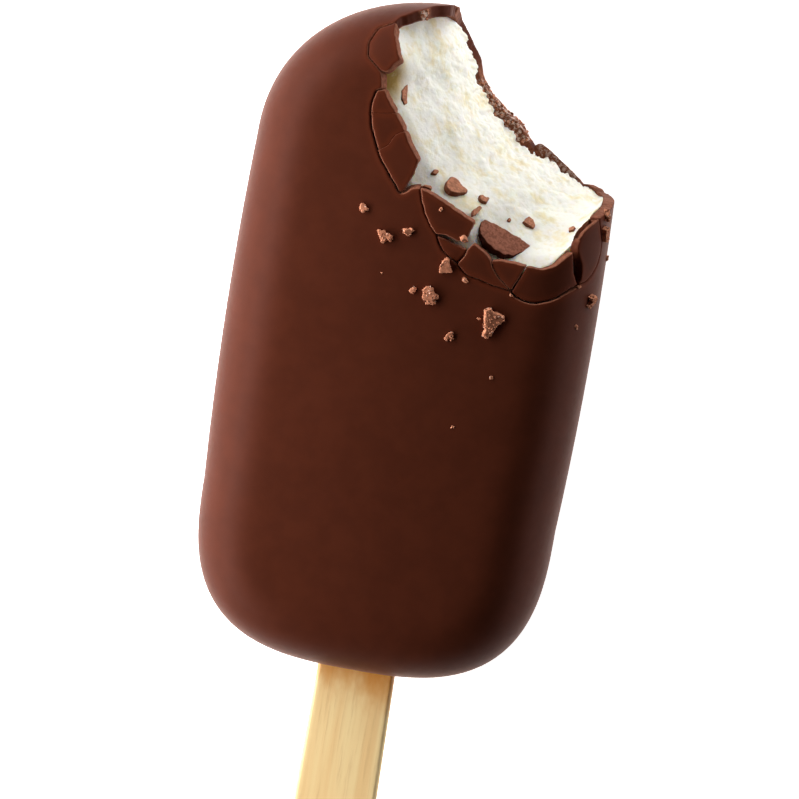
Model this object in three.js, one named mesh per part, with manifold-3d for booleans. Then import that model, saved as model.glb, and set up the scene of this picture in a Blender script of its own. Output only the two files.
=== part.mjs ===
// A chocolate-coated ice cream bar on a wooden stick, lying on its flat back with one bite out of its end.
// Millimetres, with +Z up and +Y along the bar to its bitten end. The origin is the middle of the flat back.

import * as THREE from 'three';
import { mergeVertices } from 'three/addons/utils/BufferGeometryUtils.js';
import Module from 'manifold-3d';

const wasm = await Module();
wasm.setup();

// Driving dimensions of the bar
const THICKNESS = 25;
const HALF_WIDTH = 25.5;
const CROWN = 1;
const ROUNDING = 10;
const ROUNDING_POWER = 2.5;
const COATING = 1.6;
const GAP = 0.3;

// The outline: two long sides that bulge a little, and two blunt round ends
const SIDE_BULGE = 0.001;
const WIDEST_Y = 3.9;
const TOP_END = { start: 24.8, reach: 21.9, power: 2.18 };
const STICK_END = { start: -23.2, reach: -23.5, power: 2.9 };

// The stick
const STICK_THICKNESS = 2;
const STICK_WIDTH = 10.7;
const STICK_TIP_WIDTH = 12.5;
const STICK_BURIED = 60;
const STICK_EXPOSED = 50;
const STICK_OFF_CENTRE = 0.45;
const STICK_BEVEL = { depth: 0.5, width: 1 };

// Worked out from them
const MIDDLE = THICKNESS / 2;
const FRONT_RISE = THICKNESS - MIDDLE - CROWN;
const HALF_LENGTH = TOP_END.start + TOP_END.reach;
const STICK_EXIT = STICK_END.start + STICK_END.reach;
const FAR = 60;
const BELOW = -1;
const ABOVE = THICKNESS + 2;

// The bite: where its wall meets the front face and the back face, from the top edge round to the right side
const BITE_CENTRE = new THREE.Vector2(18, 40);
const BITE_LEAN = 1.8;
const BACK_LEDGE = 1.4;
const BITE_RIM = [
  { front: [-5.5, 54], back: [-1.5, 54] },
  { front: [-8.2, 42.8], back: [-0.6, 46] },
  { front: [-7.5, 37.8], back: [1.8, 40.8] },
  { front: [-9, 33.9], back: [3.4, 37] },
  { front: [-6.2, 29.3], back: [5.6, 34.4] },
  { front: [-3.2, 24], back: [8.9, 31.9] },
  { front: [-0.6, 20.9], back: [11.4, 29.4] },
  { front: [5.2, 17.6], back: [14.7, 27.7] },
  { front: [8.5, 13.4], back: [18, 26] },
  { front: [13.5, 12.1], back: [20.2, 25.2] },
  { front: [17.6, 13], back: [21.6, 25] },
  { front: [20.8, 15.8], back: [22.8, 24.9] },
  { front: [22.4, 20], back: [23.6, 24.8] },
  { front: [24.6, 24], back: [24.6, 24.4] },
  { front: [31, 26], back: [31, 25] },
];

// Plates of coating that the bite cracked loose round its front rim, each by its corners
const SHARDS = [
  [
    [-7.5, 42.9], [-9.7, 41.8], [-10.8, 40.4], [-10.8, 38.5],
    [-8.2, 36], [-7.3, 36.1], [-6, 38.3], [-6.6, 39.8],
  ],
  [[-8.4, 34.2], [-9, 32.6], [-9, 30.4], [-4.4, 31.1], [-5.6, 31.9], [-7.3, 34]],
  [[-9, 30.4], [-8.7, 29.2], [-7.4, 26], [-3, 28.7], [-4.4, 31.1]],
  [[-7.4, 26], [-5.5, 22.9], [-4.4, 21.4], [-3, 20.5], [-1.9, 22.8], [-1.1, 25.6], [-3, 28.7]],
  [[-0.4, 21.9], [0.3, 19.6], [1.9, 17], [3, 15.8], [6.6, 15.3], [7.5, 17.9], [7.3, 18.7], [2.7, 20.9]],
  [[3, 15.8], [3.4, 14.2], [6.3, 12.3], [7, 14.8], [6.6, 15.3]],
  [[7, 14.8], [6.3, 12.3], [8.1, 10.8], [13.9, 9.9], [11.5, 12], [10.2, 14.2], [7.8, 15.8], [6.8, 16]],
  [[10.4, 13.8], [11.5, 12], [13.9, 9.9], [15.2, 13.8]],
  [
    [15.2, 13.8], [13.9, 9.9], [16.9, 8.6], [19.2, 9.2],
    [22.7, 12.2], [21.6, 16.4], [20.8, 17], [17.9, 14.1],
  ],
  [
    [20.9, 18.4], [20.8, 17], [21.6, 16.4], [22.7, 12.2],
    [24.3, 14.6], [25.2, 17.8], [25.1, 21.2], [23.8, 22],
  ],
];
const SHARD_FLOOR = 14;
const BACK_SHARD = [[12.4, 30.5], [12.2, 26.6], [15.2, 23.4], [18.6, 22.6], [20.1, 26.6]];

// The thin flake pressed into the bitten ice cream, by its corners about its own middle
const FLAKE = [
  [-3.3, 0.3], [-2.2, -1.9], [-0.7, -2.4], [0.8, -2.5],
  [3.2, -1.2], [4.3, 2.2], [2.2, 2.1], [-1.4, 1.2],
];
const FLAKE_PLACE = { along: 0.64, height: 21.4 };
const FLAKE_THICKNESS = 1.1;
const FLAKE_RISE = 0.7;

// Crumbs large enough to see from a step away: place on the front face, and size
const CRUMBS = [
  { at: [12, 5.6], size: 1.7 },
  { at: [3.3, 7.6], size: 1.2 },
  { at: [4.6, 11.6], size: 1.2 },
  { at: [-4.2, 14.4], size: 1.1 },
  { at: [6.6, 2.7], size: 0.9 },
  { at: [-7.6, 17.7], size: 0.8 },
];
const ICE_CRUMBS = [
  { along: 0.51, height: 20.7, size: 1.2 },
  { along: 0.69, height: 16.8, size: 0.8 },
];
const CRUMB_SHAPE = { least: 0.65, spread: 0.5, flattened: 0.8, raised: 0.3 };

// The crags of torn ice cream: two sets of ridges, by their size, how closely they follow each other along
// the rim, and their slant; then the unevenness between them
const RIDGES = [
  { size: 0.2, frequency: 70, slant: 0.9 },
  { size: 0.15, frequency: 31, slant: -1.3 },
];
const UNEVENNESS = 0.3;

// Starting numbers for the repeatable random shapes
const CRAG_SEED = 7;
const CRUMB_SEED = 20;
const ICE_CRUMB_SEED = 60;

// Mesh density
const MERGE_DISTANCE = 1e-4;
const OUTLINE_STEPS = 300;
const FACE_SAMPLES = 288;
const STICK_BEVEL_STEPS = 2;
const STICK_END_STEPS = 10;
const COLUMNS = 72;
const CORE_COLUMNS = 60;
const FRONT_STEPS = 6;
const BACK_STEPS = 5;
const CROWN_RINGS = [0.7, 0.35];
const RIM_POINTS = 44;
const BITE_LEVELS = 14;

// Repeatable random numbers from 0 to 1
function seeded(seed) {
  let state = seed;
  return () => {
    state = (state * 1664525 + 1013904223) % 4294967296;
    return state / 4294967296;
  };
}

// --- Outline of the bar ---

function sideHalfWidth(y) {
  return HALF_WIDTH - SIDE_BULGE * (y - WIDEST_Y) ** 2;
}

// One right-hand quarter end, from the side to the middle of the end
function endCurve(end, steps) {
  const width = sideHalfWidth(end.start);
  const points = [];
  for (let i = 0; i <= steps; i++) {
    const angle = (i / steps) * (Math.PI / 2);
    const x = width * Math.cos(angle) ** (2 / end.power);
    const y = end.start + end.reach * Math.sin(angle) ** (2 / end.power);
    points.push(new THREE.Vector2(x, y));
  }
  return points;
}

// The outline, anticlockwise from the stick end, evenly spaced, each point with its outward direction
function outline(count) {
  const right = [...endCurve(STICK_END, OUTLINE_STEPS).reverse()];
  for (let i = 1; i < OUTLINE_STEPS; i++) {
    const y = STICK_END.start + (i / OUTLINE_STEPS) * (TOP_END.start - STICK_END.start);
    right.push(new THREE.Vector2(sideHalfWidth(y), y));
  }
  right.push(...endCurve(TOP_END, OUTLINE_STEPS));
  const left = right.slice(1, -1).reverse().map((p) => new THREE.Vector2(-p.x, p.y));
  const loop = [...right, ...left, right[0].clone()];
  const run = [0];
  for (let i = 1; i < loop.length; i++) run.push(run[i - 1] + loop[i].distanceTo(loop[i - 1]));
  const points = [];
  let k = 0;
  for (let i = 0; i < count; i++) {
    const goal = (i / count) * run.at(-1);
    while (run[k + 1] <= goal) k++;
    points.push(loop[k].clone().lerp(loop[k + 1], (goal - run[k]) / (run[k + 1] - run[k])));
  }
  return points.map((point, i) => {
    const along = points[(i + 1) % count].clone().sub(points[(i + count - 1) % count]).normalize();
    return { point, out: new THREE.Vector2(along.y, -along.x) };
  });
}

// How far the rounded edge has risen, 0 at mid height and 1 at the flat, a given way in from the side
function roundingRise(inward) {
  const t = 1 - THREE.MathUtils.clamp(inward / ROUNDING, 0, 1);
  return (1 - t ** ROUNDING_POWER) ** (1 / ROUNDING_POWER);
}

function crown(x, y) {
  const across = 1 - Math.min(Math.abs(x) / HALF_WIDTH, 1) ** 2;
  const along = 1 - Math.min(Math.abs(y) / HALF_LENGTH, 1) ** 4;
  return CROWN * across * along;
}

// --- From three.js geometry to solids and back ---

function toSolid(geometry) {
  const bare = geometry.clone();
  bare.deleteAttribute('normal');
  bare.deleteAttribute('uv');
  const merged = mergeVertices(bare, MERGE_DISTANCE);
  return new wasm.Manifold(new wasm.Mesh({
    numProp: 3,
    vertProperties: new Float32Array(merged.attributes.position.array),
    triVerts: new Uint32Array(merged.index.array),
  }));
}

function toGeometry(solid) {
  const mesh = solid.getMesh();
  const geometry = new THREE.BufferGeometry();
  geometry.setAttribute('position', new THREE.BufferAttribute(mesh.vertProperties, 3));
  geometry.setIndex(new THREE.BufferAttribute(mesh.triVerts, 1));
  geometry.computeVertexNormals();
  return geometry;
}

// A closed mesh from rings of points, with a middle point at each end
function loft(rings, first, last) {
  const positions = [];
  const faces = [];
  const count = rings[0].length;
  for (const ring of rings) for (const p of ring) positions.push(p.x, p.y, p.z);
  const firstIndex = positions.length / 3;
  positions.push(first.x, first.y, first.z, last.x, last.y, last.z);
  for (let i = 0; i < count; i++) {
    const j = (i + 1) % count;
    faces.push(firstIndex, j, i);
    for (let r = 0; r + 1 < rings.length; r++) {
      const low = r * count;
      const high = low + count;
      faces.push(low + i, low + j, high + j, low + i, high + j, high + i);
    }
    const end = (rings.length - 1) * count;
    faces.push(firstIndex + 1, end + i, end + j);
  }
  const geometry = new THREE.BufferGeometry();
  geometry.setAttribute('position', new THREE.Float32BufferAttribute(positions, 3));
  geometry.setIndex(faces);
  return toSolid(geometry);
}

// An upright prism on a polygon
function prism(corners, bottom, top) {
  const shape = new THREE.Shape(corners.map(([x, y]) => new THREE.Vector2(x, y)));
  const geometry = new THREE.ExtrudeGeometry(shape, { depth: top - bottom, bevelEnabled: false });
  geometry.translate(0, 0, bottom);
  return toSolid(geometry);
}

// A polygon with every side moved outwards, or inwards by a negative distance
function grown(corners, distance) {
  const turn = THREE.ShapeUtils.isClockWise(corners.map(([x, y]) => ({ x, y }))) ? -1 : 1;
  const count = corners.length;
  const sides = corners.map(([x, y], i) => {
    const [nextX, nextY] = corners[(i + 1) % count];
    const length = Math.hypot(nextX - x, nextY - y);
    const out = [turn * (nextY - y) / length, -turn * (nextX - x) / length];
    return { out, offset: out[0] * x + out[1] * y + distance };
  });
  return sides.map((side, i) => {
    const before = sides[(i + count - 1) % count];
    const det = before.out[0] * side.out[1] - before.out[1] * side.out[0];
    const x = (before.offset * side.out[1] - side.offset * before.out[1]) / det;
    const y = (side.offset * before.out[0] - before.offset * side.out[0]) / det;
    return [x, y];
  });
}

// --- The whole bar before its bite, with its skin pared off by a given depth ---

function barSolid(pared, columns) {
  const edge = outline(columns);
  const rounding = ROUNDING - pared;
  const ringAt = (inward, height) => edge.map(({ point, out }) => {
    const p = point.clone().addScaledVector(out, -(pared + inward));
    return new THREE.Vector3(p.x, p.y, height(p));
  });
  const rings = [];
  const steps = (count) => Array.from({ length: count }, (_, i) => (i + 1) / count);
  const turned = (angle) => [
    rounding * (1 - Math.cos(angle) ** (2 / ROUNDING_POWER)),
    Math.sin(angle) ** (2 / ROUNDING_POWER),
  ];
  for (const t of steps(BACK_STEPS).reverse()) {
    const [inward, rise] = turned(t * Math.PI / 2);
    rings.push(ringAt(inward, () => MIDDLE - rise * (MIDDLE - pared)));
  }
  rings.push(ringAt(0, () => MIDDLE));
  const frontHeight = (rise) => (p) => MIDDLE + rise * (FRONT_RISE - pared + crown(p.x, p.y));
  for (const t of steps(FRONT_STEPS)) {
    const [inward, rise] = turned(t * Math.PI / 2);
    rings.push(ringAt(inward, frontHeight(rise)));
  }
  const flat = rings.at(-1);
  for (const scale of CROWN_RINGS) {
    rings.push(flat.map((p) => {
      const x = p.x * scale;
      const y = p.y * scale;
      return new THREE.Vector3(x, y, frontHeight(1)({ x, y }));
    }));
  }
  const backMiddle = new THREE.Vector3(0, 0, pared);
  const frontMiddle = new THREE.Vector3(0, 0, frontHeight(1)({ x: 0, y: 0 }));
  return loft(rings, backMiddle, frontMiddle);
}

// Height of the front face over a place on the bar
function frontFace(x, y) {
  const edge = outline(FACE_SAMPLES);
  const inward = Math.min(...edge.map(({ point }) => Math.hypot(point.x - x, point.y - y)));
  return MIDDLE + roundingRise(inward) * (FRONT_RISE + crown(x, y));
}

// --- The bite ---

// The rim of the bite at one height: the wall leans outwards from the front face to the back,
// and stands upright above a given height
function rimAt(height, uprightFrom = THICKNESS) {
  const share = THREE.MathUtils.clamp(height / uprightFrom, 0, 1) ** BITE_LEAN;
  const knots = BITE_RIM.map(({ front, back }) => new THREE.Vector3(
    THREE.MathUtils.lerp(back[0], front[0], share),
    THREE.MathUtils.lerp(back[1], front[1], share),
    height,
  ));
  return new THREE.CatmullRomCurve3(knots, false, 'centripetal');
}

// How far the crags stand out at one place on the bitten face
function crags(along, height, random) {
  const ridgeAt = ({ size, frequency, slant }) => size * Math.sin(along * frequency + height * slant);
  const ridges = RIDGES.reduce((sum, ridge) => sum + ridgeAt(ridge), 0);
  return ridges + UNEVENNESS * (random() - 0.5);
}

// What the bite takes away: a clean break from the coating, and more from the ice cream, with crags,
// so that the coating of the back stands out as a ledge
function biteTool(rough) {
  const uprightFrom = rough ? THICKNESS : THICKNESS - 2 * COATING;
  const random = seeded(CRAG_SEED);
  const rings = [];
  for (let level = 0; level <= BITE_LEVELS; level++) {
    const height = THREE.MathUtils.lerp(BELOW, ABOVE, level / BITE_LEVELS);
    const curve = rimAt(height, uprightFrom);
    const ring = curve.getSpacedPoints(RIM_POINTS).map((p, i) => {
      const inward = new THREE.Vector2(p.x, p.y).sub(BITE_CENTRE);
      const ledge = BACK_LEDGE * THREE.MathUtils.clamp(1 - height / THICKNESS, 0, 1);
      const extra = rough ? ledge + crags(i / RIM_POINTS, height, random) : 0;
      inward.setLength(inward.length() + extra);
      return new THREE.Vector3(BITE_CENTRE.x + inward.x, BITE_CENTRE.y + inward.y, height);
    });
    ring.push(new THREE.Vector3(FAR, BITE_CENTRE.y, height));
    ring.push(new THREE.Vector3(BITE_CENTRE.x, FAR + HALF_WIDTH, height));
    rings.push(ring);
  }
  const ends = [rings[0][0].z, rings.at(-1)[0].z];
  const [first, last] = ends.map((z) => new THREE.Vector3(BITE_CENTRE.x, BITE_CENTRE.y, z));
  return loft(rings, first, last);
}

// A place on the bitten face, with the directions along the rim, down the slope and out of it
function biteFrame(along, height) {
  const step = 0.01;
  const place = rimAt(height).getPointAt(along);
  const sideways = rimAt(height).getPointAt(along + step).sub(place).normalize();
  const downwards = rimAt(height - step).getPointAt(along).sub(place).normalize();
  const outwards = new THREE.Vector3().crossVectors(sideways, downwards).normalize();
  downwards.crossVectors(outwards, sideways);
  return { place, basis: new THREE.Matrix4().makeBasis(sideways, downwards, outwards) };
}

// --- Small pieces ---

function crumb(place, size, seed) {
  const random = seeded(seed);
  const geometry = new THREE.IcosahedronGeometry(size, 0);
  geometry.deleteAttribute('normal');
  geometry.deleteAttribute('uv');
  const lump = mergeVertices(geometry, MERGE_DISTANCE);
  const corners = lump.attributes.position;
  for (let i = 0; i < corners.count; i++) {
    const scale = CRUMB_SHAPE.least + CRUMB_SHAPE.spread * random();
    const height = scale * CRUMB_SHAPE.flattened;
    corners.setXYZ(i, corners.getX(i) * scale, corners.getY(i) * scale, corners.getZ(i) * height);
  }
  lump.translate(place.x, place.y, place.z + CRUMB_SHAPE.raised * size);
  return toSolid(lump);
}

function shard(shell, corners, bottom, top) {
  return shell.intersect(prism(grown(corners, -GAP / 2), bottom, top));
}

// The loose flake, or with a margin the seat that it has melted for itself
function looseFlake(margin) {
  const { place, basis } = biteFrame(FLAKE_PLACE.along, FLAKE_PLACE.height);
  const flake = new THREE.Shape(grown(FLAKE, margin).map(([x, y]) => new THREE.Vector2(x, y)));
  const depth = FLAKE_THICKNESS + 2 * margin;
  const geometry = new THREE.ExtrudeGeometry(flake, { depth, bevelEnabled: false });
  geometry.translate(0, 0, FLAKE_RISE - FLAKE_THICKNESS - margin);
  geometry.applyMatrix4(basis);
  geometry.translate(place.x, place.y, place.z);
  return toSolid(geometry);
}

// --- The stick, and the slot that it sits in ---

// The stick in plan, or with a margin its slot: straight in the bar, then flaring to its free end
function stickOutline(margin) {
  const half = STICK_WIDTH / 2 + margin;
  const tip = STICK_TIP_WIDTH / 2 + margin;
  const buriedEnd = STICK_EXIT + STICK_BURIED - STICK_WIDTH / 2;
  const freeEnd = STICK_EXIT - STICK_EXPOSED + STICK_TIP_WIDTH / 2;
  const shape = new THREE.Shape();
  shape.moveTo(half, STICK_EXIT);
  shape.lineTo(half, buriedEnd);
  shape.absarc(0, buriedEnd, half, 0, Math.PI, false);
  shape.lineTo(-half, STICK_EXIT);
  shape.lineTo(-tip, freeEnd);
  shape.absarc(0, freeEnd, tip, Math.PI, 2 * Math.PI, false);
  return shape;
}

function stickGeometry() {
  const geometry = new THREE.ExtrudeGeometry(stickOutline(0), {
    depth: STICK_THICKNESS - 2 * STICK_BEVEL.depth,
    bevelThickness: STICK_BEVEL.depth,
    bevelSize: STICK_BEVEL.width,
    bevelOffset: -STICK_BEVEL.width,
    bevelSegments: STICK_BEVEL_STEPS,
    curveSegments: STICK_END_STEPS,
  });
  geometry.translate(STICK_OFF_CENTRE, 0, MIDDLE - STICK_THICKNESS / 2 + STICK_BEVEL.depth);
  return geometry;
}

function stickSlot() {
  const depth = STICK_THICKNESS + 2 * GAP;
  const options = { depth, bevelEnabled: false, curveSegments: STICK_END_STEPS };
  const geometry = new THREE.ExtrudeGeometry(stickOutline(GAP), options);
  geometry.translate(STICK_OFF_CENTRE, 0, MIDDLE - depth / 2);
  return toSolid(geometry);
}

// --- The pieces ---

function shellSolid() {
  return barSolid(0, COLUMNS).subtract(barSolid(COATING, CORE_COLUMNS));
}

function coatingSolid(shell) {
  let coating = shell.subtract(biteTool(false)).subtract(stickSlot());
  for (const corners of SHARDS) {
    coating = coating.subtract(prism(grown(corners, GAP / 2), SHARD_FLOOR, FAR));
  }
  coating = coating.subtract(prism(grown(BACK_SHARD, GAP / 2), BELOW, MIDDLE));
  CRUMBS.forEach(({ at: [x, y], size }, i) => {
    const place = new THREE.Vector3(x, y, frontFace(x, y));
    coating = coating.add(crumb(place, size, CRUMB_SEED + i));
  });
  return coating;
}

function iceCreamSolid() {
  let core = barSolid(COATING + GAP, CORE_COLUMNS).subtract(biteTool(true));
  core = core.subtract(stickSlot()).subtract(looseFlake(GAP));
  ICE_CRUMBS.forEach(({ along, height, size }, i) => {
    core = core.add(crumb(biteFrame(along, height).place, size, ICE_CRUMB_SEED + i));
  });
  return core;
}

// --- The materials ---

const chocolate = new THREE.MeshStandardMaterial({ color: 0x48221a, roughness: 0.45, metalness: 0 });
const iceCream = new THREE.MeshStandardMaterial({ color: 0xefe9d8, roughness: 0.7, metalness: 0 });
const wood = new THREE.MeshStandardMaterial({ color: 0xeac594, roughness: 0.6, metalness: 0 });

// --- The bar ---

const bar = new THREE.Group();

function addPiece(name, geometry, material) {
  const piece = new THREE.Mesh(geometry, material);
  piece.name = name;
  bar.add(piece);
}

const shell = shellSolid();
addPiece('ice_cream', toGeometry(iceCreamSolid()), iceCream);
addPiece('coating', toGeometry(coatingSolid(shell)), chocolate);
SHARDS.forEach((corners, i) => {
  addPiece(`front_shard_${i + 1}`, toGeometry(shard(shell, corners, SHARD_FLOOR, FAR)), chocolate);
});
const backShard = shard(shell, BACK_SHARD, BELOW, MIDDLE).subtract(biteTool(false));
addPiece('back_shard', toGeometry(backShard), chocolate);
addPiece('loose_flake', toGeometry(looseFlake(0)), chocolate);
addPiece('stick', stickGeometry(), wood);

export default bar;
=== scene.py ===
# %% [markdown]
# # A chocolate-coated ice cream bar with a bite out of it
# The bar is vanilla ice cream on a birch stick, dipped in milk chocolate that froze to a brittle shell.
# One bite has cracked the shell into plates round its rim and left torn ice cream behind it.
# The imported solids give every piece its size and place. This lesson puts finer meshes over them.

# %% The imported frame
import math

import bmesh
import bpy
import numpy as np
from mathutils import Matrix, Vector
from mathutils.bvhtree import BVHTree
from mathutils.geometry import delaunay_2d_cdt


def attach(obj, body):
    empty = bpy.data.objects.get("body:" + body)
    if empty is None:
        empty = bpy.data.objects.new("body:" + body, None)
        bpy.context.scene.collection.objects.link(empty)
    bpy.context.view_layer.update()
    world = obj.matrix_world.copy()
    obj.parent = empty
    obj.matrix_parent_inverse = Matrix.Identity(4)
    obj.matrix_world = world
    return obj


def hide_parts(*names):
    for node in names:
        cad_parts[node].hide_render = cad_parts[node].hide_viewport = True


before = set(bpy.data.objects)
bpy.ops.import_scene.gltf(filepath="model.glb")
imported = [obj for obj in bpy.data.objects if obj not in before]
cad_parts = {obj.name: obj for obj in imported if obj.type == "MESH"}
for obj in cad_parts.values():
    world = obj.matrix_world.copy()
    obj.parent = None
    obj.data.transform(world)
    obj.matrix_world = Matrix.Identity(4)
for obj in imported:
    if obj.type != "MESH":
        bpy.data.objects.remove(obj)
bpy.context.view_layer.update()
MM = 0.001
print("Packed nodes:", ", ".join(sorted(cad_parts)))

# %% [markdown]
# ## The camera and the light
# The bar lies on its back, so the camera looks down on it, a little from the bitten side, through a long
# lens. The floor is pale. Two panels at the left make the soft falloff over the face, and others stand at
# the bitten end, at the bite, over the top left corner and at the right. The space straight above stays
# dark, so the satin face keeps its depth and only its edges shine.

# %% The camera
AIM = Vector((0.31, -8.4, 12.5)) * MM
CAMERA_DISTANCE = 480 * MM
# How far the camera leans towards +X and towards +Y
LEANS = (math.radians(5), math.radians(6))
ROLL = math.radians(9.46)
FOCAL_LENGTH = 155.28
SENSOR_WIDTH = 36
CLIP_START = 0.01


def make_camera():
    back = Vector((math.tan(LEANS[0]), math.tan(LEANS[1]), 1)).normalized()
    north = (Vector((0, 1, 0)) - back * back.y).normalized()
    east = north.cross(back)
    up = north * math.cos(ROLL) - east * math.sin(ROLL)
    right = east * math.cos(ROLL) + north * math.sin(ROLL)
    camera = bpy.data.objects.new("camera", bpy.data.cameras.new("camera"))
    camera.matrix_world = Matrix.Translation(AIM + back * CAMERA_DISTANCE) @ Matrix(
        (right, up, back)
    ).transposed().to_4x4()
    camera.data.lens = FOCAL_LENGTH
    camera.data.sensor_width = SENSOR_WIDTH
    camera.data.clip_start = CLIP_START
    bpy.context.collection.objects.link(camera)
    bpy.context.scene.camera = camera


make_camera()

# %% The floor and the lights
FLOOR_GLOW = 1.0
FLOOR_REACH = 3
WORLD_GLOW = 0.01
WHITE = (1, 1, 1, 1)
# Each softbox by its place, what it faces, its size and its power in watts
PANELS = {
    "left_panel": ((-78, -22, 62), (0, -22, 20), (220, 40), 0.26),
    "low_left_panel": ((-180, -20, 14), (0, -20, 14), (300, 16), 0.25),
    "end_panel": ((60, 350, 62), (0, 30, 15), (250, 60), 0.28),
    "bite_panel": ((170, 210, 60), (10, 25, 12), (160, 60), 0.165),
    "corner_panel": ((-50, 78, 46), (-8, 40, 23), (50, 20), 0.011),
    "right_panel": ((300, 0, 32), (20, 0, 12), (300, 50), 0.19),
}


def make_floor():
    mesh = bpy.data.meshes.new("floor")
    reach = FLOOR_REACH
    corners = [(-reach, -reach, 0), (reach, -reach, 0), (reach, reach, 0), (-reach, reach, 0)]
    mesh.from_pydata(corners, [], [(0, 1, 2, 3)])
    floor = bpy.data.objects.new("floor", mesh)
    bpy.context.collection.objects.link(floor)
    paper = bpy.data.materials.new("white_paper")
    paper.use_nodes = True
    shader = paper.node_tree.nodes["Principled BSDF"]
    shader.inputs["Base Color"].default_value = (0.9, 0.9, 0.9, 1)
    shader.inputs["Roughness"].default_value = 0.9
    shader.inputs["Specular IOR Level"].default_value = 0
    shader.inputs["Emission Color"].default_value = WHITE
    shader.inputs["Emission Strength"].default_value = FLOOR_GLOW
    mesh.materials.append(paper)


def make_panel(name, place, aim, size, power):
    """A softbox, given in millimetres. It lights the bar but isn't seen itself."""
    light = bpy.data.lights.new(name, "AREA")
    light.shape = "RECTANGLE"
    light.size, light.size_y = size[0] * MM, size[1] * MM
    light.energy = power
    lamp = bpy.data.objects.new(name, light)
    lamp.location = Vector(place) * MM
    lamp.rotation_euler = (Vector(aim) - Vector(place)).to_track_quat("-Z", "Y").to_euler()
    lamp.visible_camera = False
    bpy.context.collection.objects.link(lamp)


def make_world():
    world = bpy.data.worlds.new("studio")
    world.use_nodes = True
    world.node_tree.nodes["Background"].inputs["Color"].default_value = WHITE
    world.node_tree.nodes["Background"].inputs["Strength"].default_value = WORLD_GLOW
    bpy.context.scene.world = world
    bpy.context.scene.view_settings.view_transform = "Standard"


make_floor()
for panel_name, values in PANELS.items():
    make_panel(panel_name, *values)
make_world()
print(f"The camera, the floor and {len(PANELS)} panels are in place")

# %% [markdown]
# ## The shape of the bar
# The dipped bar is a rounded slab: a plan outline of two long sides and two blunt ends, and a section that
# turns from the flat into the upright side along a superellipse. Each half of the skin, front and back, is
# unrolled onto a flat sheet, like peel. Cracks and plates are then drawn on the sheet, and laid back on the
# bar at any depth under its surface.

# %% Sizes, in millimetres
THICKNESS = 25
HALF_WIDTH = 25.5
HALF_LENGTH = 46.7
CROWN = 1
ROUNDING = 10
ROUNDING_POWER = 2.5
COATING = 1.6
SIDE_BULGE = 0.001
WIDEST_Y = 3.9
TOP_END = (24.8, 21.9, 2.18)
STICK_END = (-23.2, -23.5, 2.9)
MIDDLE = THICKNESS / 2
STICK_EXIT = STICK_END[0] + STICK_END[1]

# %% The outline
STATIONS = 1440
SIDE_STEPS = 400
OUT_SMOOTHING = 6


def side_half_width(y):
    return HALF_WIDTH - SIDE_BULGE * (y - WIDEST_Y) ** 2


def quarter_end(start, reach, power):
    angle = np.linspace(0, math.pi / 2, SIDE_STEPS)
    x = side_half_width(start) * np.cos(angle) ** (2 / power)
    return np.column_stack([x, start + reach * np.sin(angle) ** (2 / power)])


def run_along(points):
    return np.concatenate([[0], np.cumsum(np.linalg.norm(np.diff(points, axis=0), axis=1))])


def from_ends(line):
    """How far along the line each point is from the nearer end."""
    return np.minimum(run_along(line), run_along(line[::-1])[::-1])


def resampled(points, count):
    run = run_along(points)
    goal = np.linspace(0, run[-1], count)
    return np.column_stack([np.interp(goal, run, column) for column in points.T])


def closed_outline():
    side_y = np.linspace(STICK_END[0], TOP_END[0], SIDE_STEPS)[1:-1]
    side = np.column_stack([side_half_width(side_y), side_y])
    right = np.vstack([quarter_end(*STICK_END)[::-1], side, quarter_end(*TOP_END)])
    left = right[-2:0:-1] * [-1, 1]
    return resampled(np.vstack([right, left, right[:1]]), STATIONS + 1)[:-1]


def unit(vectors):
    return vectors / np.linalg.norm(vectors, axis=1, keepdims=True)


def outward(loop):
    along = np.roll(loop, -1, 0) - np.roll(loop, 1, 0)
    return unit(np.column_stack([along[:, 1], -along[:, 0]]))


RING = closed_outline()
OUT = outward(RING)
for _ in range(OUT_SMOOTHING):
    OUT = unit(np.roll(OUT, 1, 0) + 2 * OUT + np.roll(OUT, -1, 0))
INNER = RING - OUT * ROUNDING
STATIONS_PER_MM = STATIONS / run_along(RING)[-1]
print(f"Outline: {STATIONS} stations, {run_along(RING)[-1]:.0f} mm round")

# %% Reading the outline between its stations
BATCH = 2000
PROBE = 0.1
SEARCH_ROUNDS = 4


def batches(points):
    return [slice(start, start + BATCH) for start in range(0, len(points), BATCH)]


def nearest(points, others):
    found = np.empty(len(points), int)
    for part in batches(points):
        gap = points[part, None, :] - others[None]
        found[part] = np.einsum("ijk,ijk->ij", gap, gap).argmin(1)
    return found


def stations(points, ring):
    """Where on the outline, counted in stations, the outward direction leads from the ring to each point."""
    station = nearest(points, ring).astype(float)
    for _ in range(SEARCH_ROUNDS):
        off = []
        for place in (station, station + PROBE):
            gap, out = points - at_station(ring, place), at_station(OUT, place)
            off.append(gap[:, 0] * out[:, 1] - gap[:, 1] * out[:, 0])
        change = off[1] - off[0]
        safe = np.abs(change) > 1e-9
        station -= np.where(safe, np.clip(PROBE * off[0] / np.where(safe, change, 1), -1, 1), 0)
    return station


def at_station(values, station):
    low = np.floor(station).astype(int)
    share = (station - low)[:, None]
    return values[low % STATIONS] * (1 - share) + values[(low + 1) % STATIONS] * share


# %% Uneven fields, for waviness, cracks and torn ice
CELLS = 256
# The starting number of each repeatable random field
SEEDS = {"waves": 3, "cracks": 11, "scoops": 31, "lumps": 33, "curds": 35, "teeth": 37, "fine_teeth": 39,
         "chips": 71}


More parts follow.
